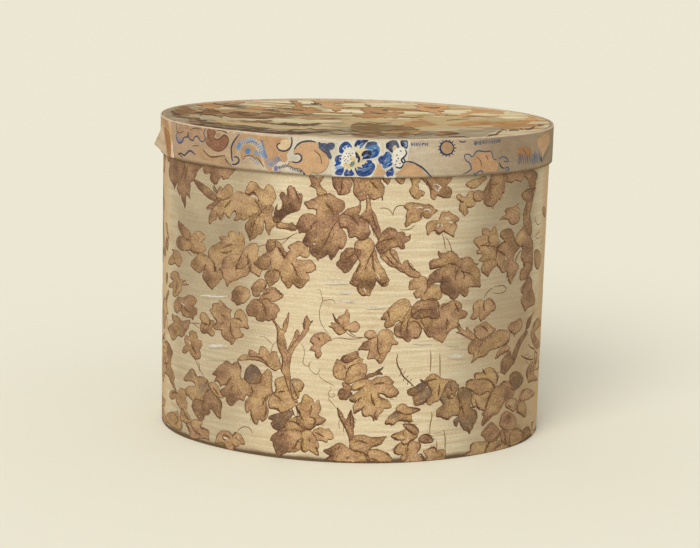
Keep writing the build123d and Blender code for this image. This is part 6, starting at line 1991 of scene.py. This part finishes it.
TOP_LINES = """
dark 1.2 | 330,133.5 342,134.5 354,134 366,135.5 378,135 390,137 402,137 414,138.5 428,138.5 /396,134.5
408,133.5 420,135 432,134.5 /198,107.5 203,109.5 208,110.5 214,110.5 220,112 /310.5,103.5 315,104
320,103.5 /256,131 264,130.5 272,130.5 280,131.5 287,131 294,129.5 302,130 310,128.8 316,130 324,129.8
332,130.3 340,130.3 346,132 354,131.5 358,131.3 /415,135.5 420,133.5 428,132.8 436,133.8 446,133.5
460,133.8 /442,134 449,134.3 456,133.3 460,133.8 /448,136.3 455,136.5 462,136.5 468,137.5 474,138.2
/222,115 228,113.5 236,111.5 243,112.5 250,113 /230,117.5 240,117.8 250,118 262,118.5 274,118 /236,112.5
244,115 252,115.5 260,114.5 /212,103 220,104.5 230,103 /286,110.5 296,110 304,111 /370,112 380,113.5
388,113 /424,107 432,108 440,107.5 /382,110 388,110.5;
umber 1 | 240,122 252,122.6 266,121.8 /320,119.5 334,118.5 350,119.5 /400,116.5 412,117.5 424,117
/462,117.5 474,116.5 488,116.8 500,116 /366,121.5 378,123 392,122.5 /446,120.5 458,119.5 470,119
/186,122 196,122.5 206,124 214,125 /190,113.5 198,114.5 202,116 /480,123.5 492,123 506,123.6
/330,112.5 342,113.5 352,112.5 /346,108.5 352,107.5;
brown 1.8 | 482,138.3 485,138 488,136.3 492,135 496,134.5 499,132 502,130.3 504,129.5 507,131.3 /509,130.8
513,130 519,130.3 /520,128.8 523,129.8 /525,129.5 530,129 535,126.3 /537.5,125.8 541,125 544,124.5
"""

# %% Printing in inks by name
OUTLINE_WIDTH = 0.55 * MM
LINE_ENDS = 0.5
STROKE_SHAPE = (0.6, 1, 0.4)
DOT_SIDES = 8
RIM_PRINT_UP = 0.5 * MM
EDGE_BAND = 1.3 * MM
BAND_LIFT = 0.04 * MM
# The painted highlight round the lid's edge and the painted shadow inside it
HIGHLIGHT_BAND_LOW = (RIM_FACE - 0.1 * MM, TOP_HEIGHT - EDGE_BAND)
SHADOW_BAND_INSETS = (2.3 * MM, 3.4 * MM)
SHADOW_BAND_ABOVE = TAB_ABOVE + 0.06 * MM

# The top is seen at so low an angle that its strokes are really this many times as wide up the sheet
LOW_ANGLE = 6.5
TOP_SHAKE = (7 * MM, 9 * MM)
TOP_PRINT_INSET = 5.2 * MM
STROKE_LENGTHS = (0.8, 1.15)


def painted(bm, ink):
    """Gives all points of a shape the colour of an ink."""
    layer = bm.verts.layers.float_color.new("ink")
    for vert in bm.verts:
        vert[layer] = colour_of(*INKS[ink])
    return bm


def across_line(path, width, length, count):
    """Short strokes across a line, evenly spaced and a little uneven as a hand makes them."""
    strokes = []
    for i in range(count):
        at = (len(path) - 1) * i / max(count - 1, 1)
        step = min(int(at), len(path) - 2)
        (ax, ay), (bx, by) = path[step], path[step + 1]
        x, y = ax + (bx - ax) * (at - step), ay + (by - ay) * (at - step)
        run = hypot(bx - ax, by - ay) or 1
        half = length / 2 * random.uniform(*STROKE_LENGTHS)
        ox, oy = (ay - by) / run * half, (bx - ax) / run * half
        line = [(x - ox, y - oy), (x, y), (x + ox, y + oy)]
        strokes.append((line, [share * width / 2 for share in STROKE_SHAPE]))
    return strokes


def inked(place, shapes, lines, hatches="", dots="", ragged=(0, 0), stretch=1, end_to=END_FROM):
    """A flat print in inks by name. place brings the points of a text onto the sheet."""
    made, lift = [], INK_LIFT
    for ink, outline in lines_of(shapes):
        fill, edge = ink.split()
        shape = hand_drawn(flow(place(outline), closed=True), *ragged)
        lift += LAYER
        for shift in shifts(shape, end_to):
            made.append(painted(flat_shape(shifted(shape, shift), lift), fill))
        if edge != "-":
            widths = outline_widths(shape, 0.5 * OUTLINE_WIDTH, OUTLINE_WIDTH)
            strokes = [(shifted(shape, shift), widths, True, lift + OVER) for shift in shifts(shape, end_to)]
            made.append(painted(flat_strokes(strokes, stretch), edge))
    lift += LAYER
    for entry, paths in lines_of(lines):
        ink, width = entry.split()
        strokes = []
        for path in paths.split("/"):
            line = flow(place(path))
            widths = tapered(line, float(width) * PIXEL, LINE_ENDS)
            strokes += [(shifted(line, shift), widths, False, lift) for shift in shifts(line, end_to)]
        made.append(painted(flat_strokes(strokes, stretch), ink))
    for entry, path in lines_of(hatches):
        ink, width, length, count = entry.split()
        rows = across_line(flow(place(path)), float(width) * PIXEL, float(length) * PIXEL, int(count))
        strokes = [(line, widths, False, lift + OVER) for line, widths in rows]
        made.append(painted(flat_strokes(strokes), ink))
    for entry, spots in lines_of(dots):
        ink, radius = entry.split()
        for spot in place(spots):
            for shift in shifts([spot], end_to):
                bm = bmesh.new()
                bmesh.ops.create_circle(bm, cap_ends=True, segments=DOT_SIDES, radius=float(radius) * PIXEL)
                bmesh.ops.translate(bm, vec=(*shifted([spot], shift)[0], lift + 2 * OVER), verts=bm.verts)
                made.append(painted(bm, ink))
    return joined(made, inks=True)


def on_rim(text):
    """Points of the picture, brought onto the rim: along and height."""
    return [wall_at(px, py, RIM_FACE) for px, py in points_of(text)]


def on_top(text):
    """Points of the picture, brought onto the sheet on the top."""
    return [dish_at(px, py, TOP_PAPER_ABOVE) for px, py in points_of(text)]


# %% The border's print, the painted highlight on the lid's edge and the painted shadow inside it
random.seed(12)
border = inked(on_rim, RIM_SHAPES, RIM_LINES, RIM_HATCHES, RIM_DOTS, end_to=RIM_END_TO)
trim_sheet(border, RIM_LOW + RIM_PRINT_UP, TOP_HEIGHT - EDGE_BAND)
repeat_behind(border)
trim(border, (HALF_GIRTH + RIM_DRAWN_TO, 0, 0), (1, 0, 0))
for vert in border.verts:
    vert.co = wall(vert.co.x, rim_inset(vert.co.x, vert.co.y) - vert.co.z, vert.co.y)
# A painted highlight round the rolled top edge, and a painted shadow on the top just inside it, darker in
# front than at the back
roll = (*EDGE_MIDDLE, EDGE_BEND + BAND_LIFT)
highlight_path = [HIGHLIGHT_BAND_LOW, *corner(*roll, 180, 80, steps=5)]
shadow_path = corner(*roll, 80, 0, steps=5) + [tab_row(inset, SHADOW_BAND_ABOVE) for inset in SHADOW_BAND_INSETS]
highlight_band = painted(bent_grid(highlight_path), "edge")
shadow_band = painted(bent_grid(shadow_path), "edge_shade")
dark, light = colour_of(*INKS["edge_shade"]), colour_of(*INKS["edge"])
layer = shadow_band.verts.layers.float_color["ink"]
for vert in shadow_band.verts:
    backward = min(max(0.5 + vert.co.y / HALF_WIDTH, 0), 1)
    vert[layer] = [a + (b - a) * backward for a, b in zip(dark, light)]
for band in (highlight_band, shadow_band):
    bmesh.ops.recalc_face_normals(band, faces=band.faces[:])
bm = joined([border, highlight_band, shadow_band], inks=True)
rim_print = finish_piece(bm, "rim_print", "lid")

# %% The top's print
bm = inked(on_top, TOP_SHAPES, TOP_LINES, ragged=TOP_SHAKE, stretch=LOW_ANGLE)
trim_to_oval(bm, TOP_PRINT_INSET)
for vert in bm.verts:
    vert.co.z += dish(vert.co.x, vert.co.y, TOP_PAPER_ABOVE)
top_print = finish_piece(bm, "top_print", "lid")


# %% Inks of the border and the top
def named_ink(name, scale, stretch, wear):
    """Water-based ink: cloudy, stippled, and thin in places, where the paper shows through."""
    material, tree, shader = new_material(name)
    clouds = ramp_of(tree, noise_node(tree, scale, stretch, 6), (0.3, 0.78), (0.66, 1.0))
    colour = darkened(tree, carried(tree, "ink", "Color"), clouds)
    specks = ramp_of(tree, noise_node(tree, 420, detail=4, place=(3, 1, 4)), (0.6, 0.0), (0.74, 0.7 * wear))
    thin = ramp_of(tree, noise_node(tree, 2 * scale, stretch, 7, (6, 2, 8)), (0.5, 0.0), (0.66, wear))
    thin = maths_of(tree, "MAXIMUM", specks, thin)
    colour = washed(tree, thin, colour, 200, 184, 150)
    matt(tree, shader, colour, SLIGHT_BUMP)
    return material


rim_print.data.materials.append(named_ink("border_ink", 110, (1, 1, 1.3), 0.15))
top_print.data.materials.append(named_ink("top_ink", 26, (0.8, 2.4, 1), 0.5))
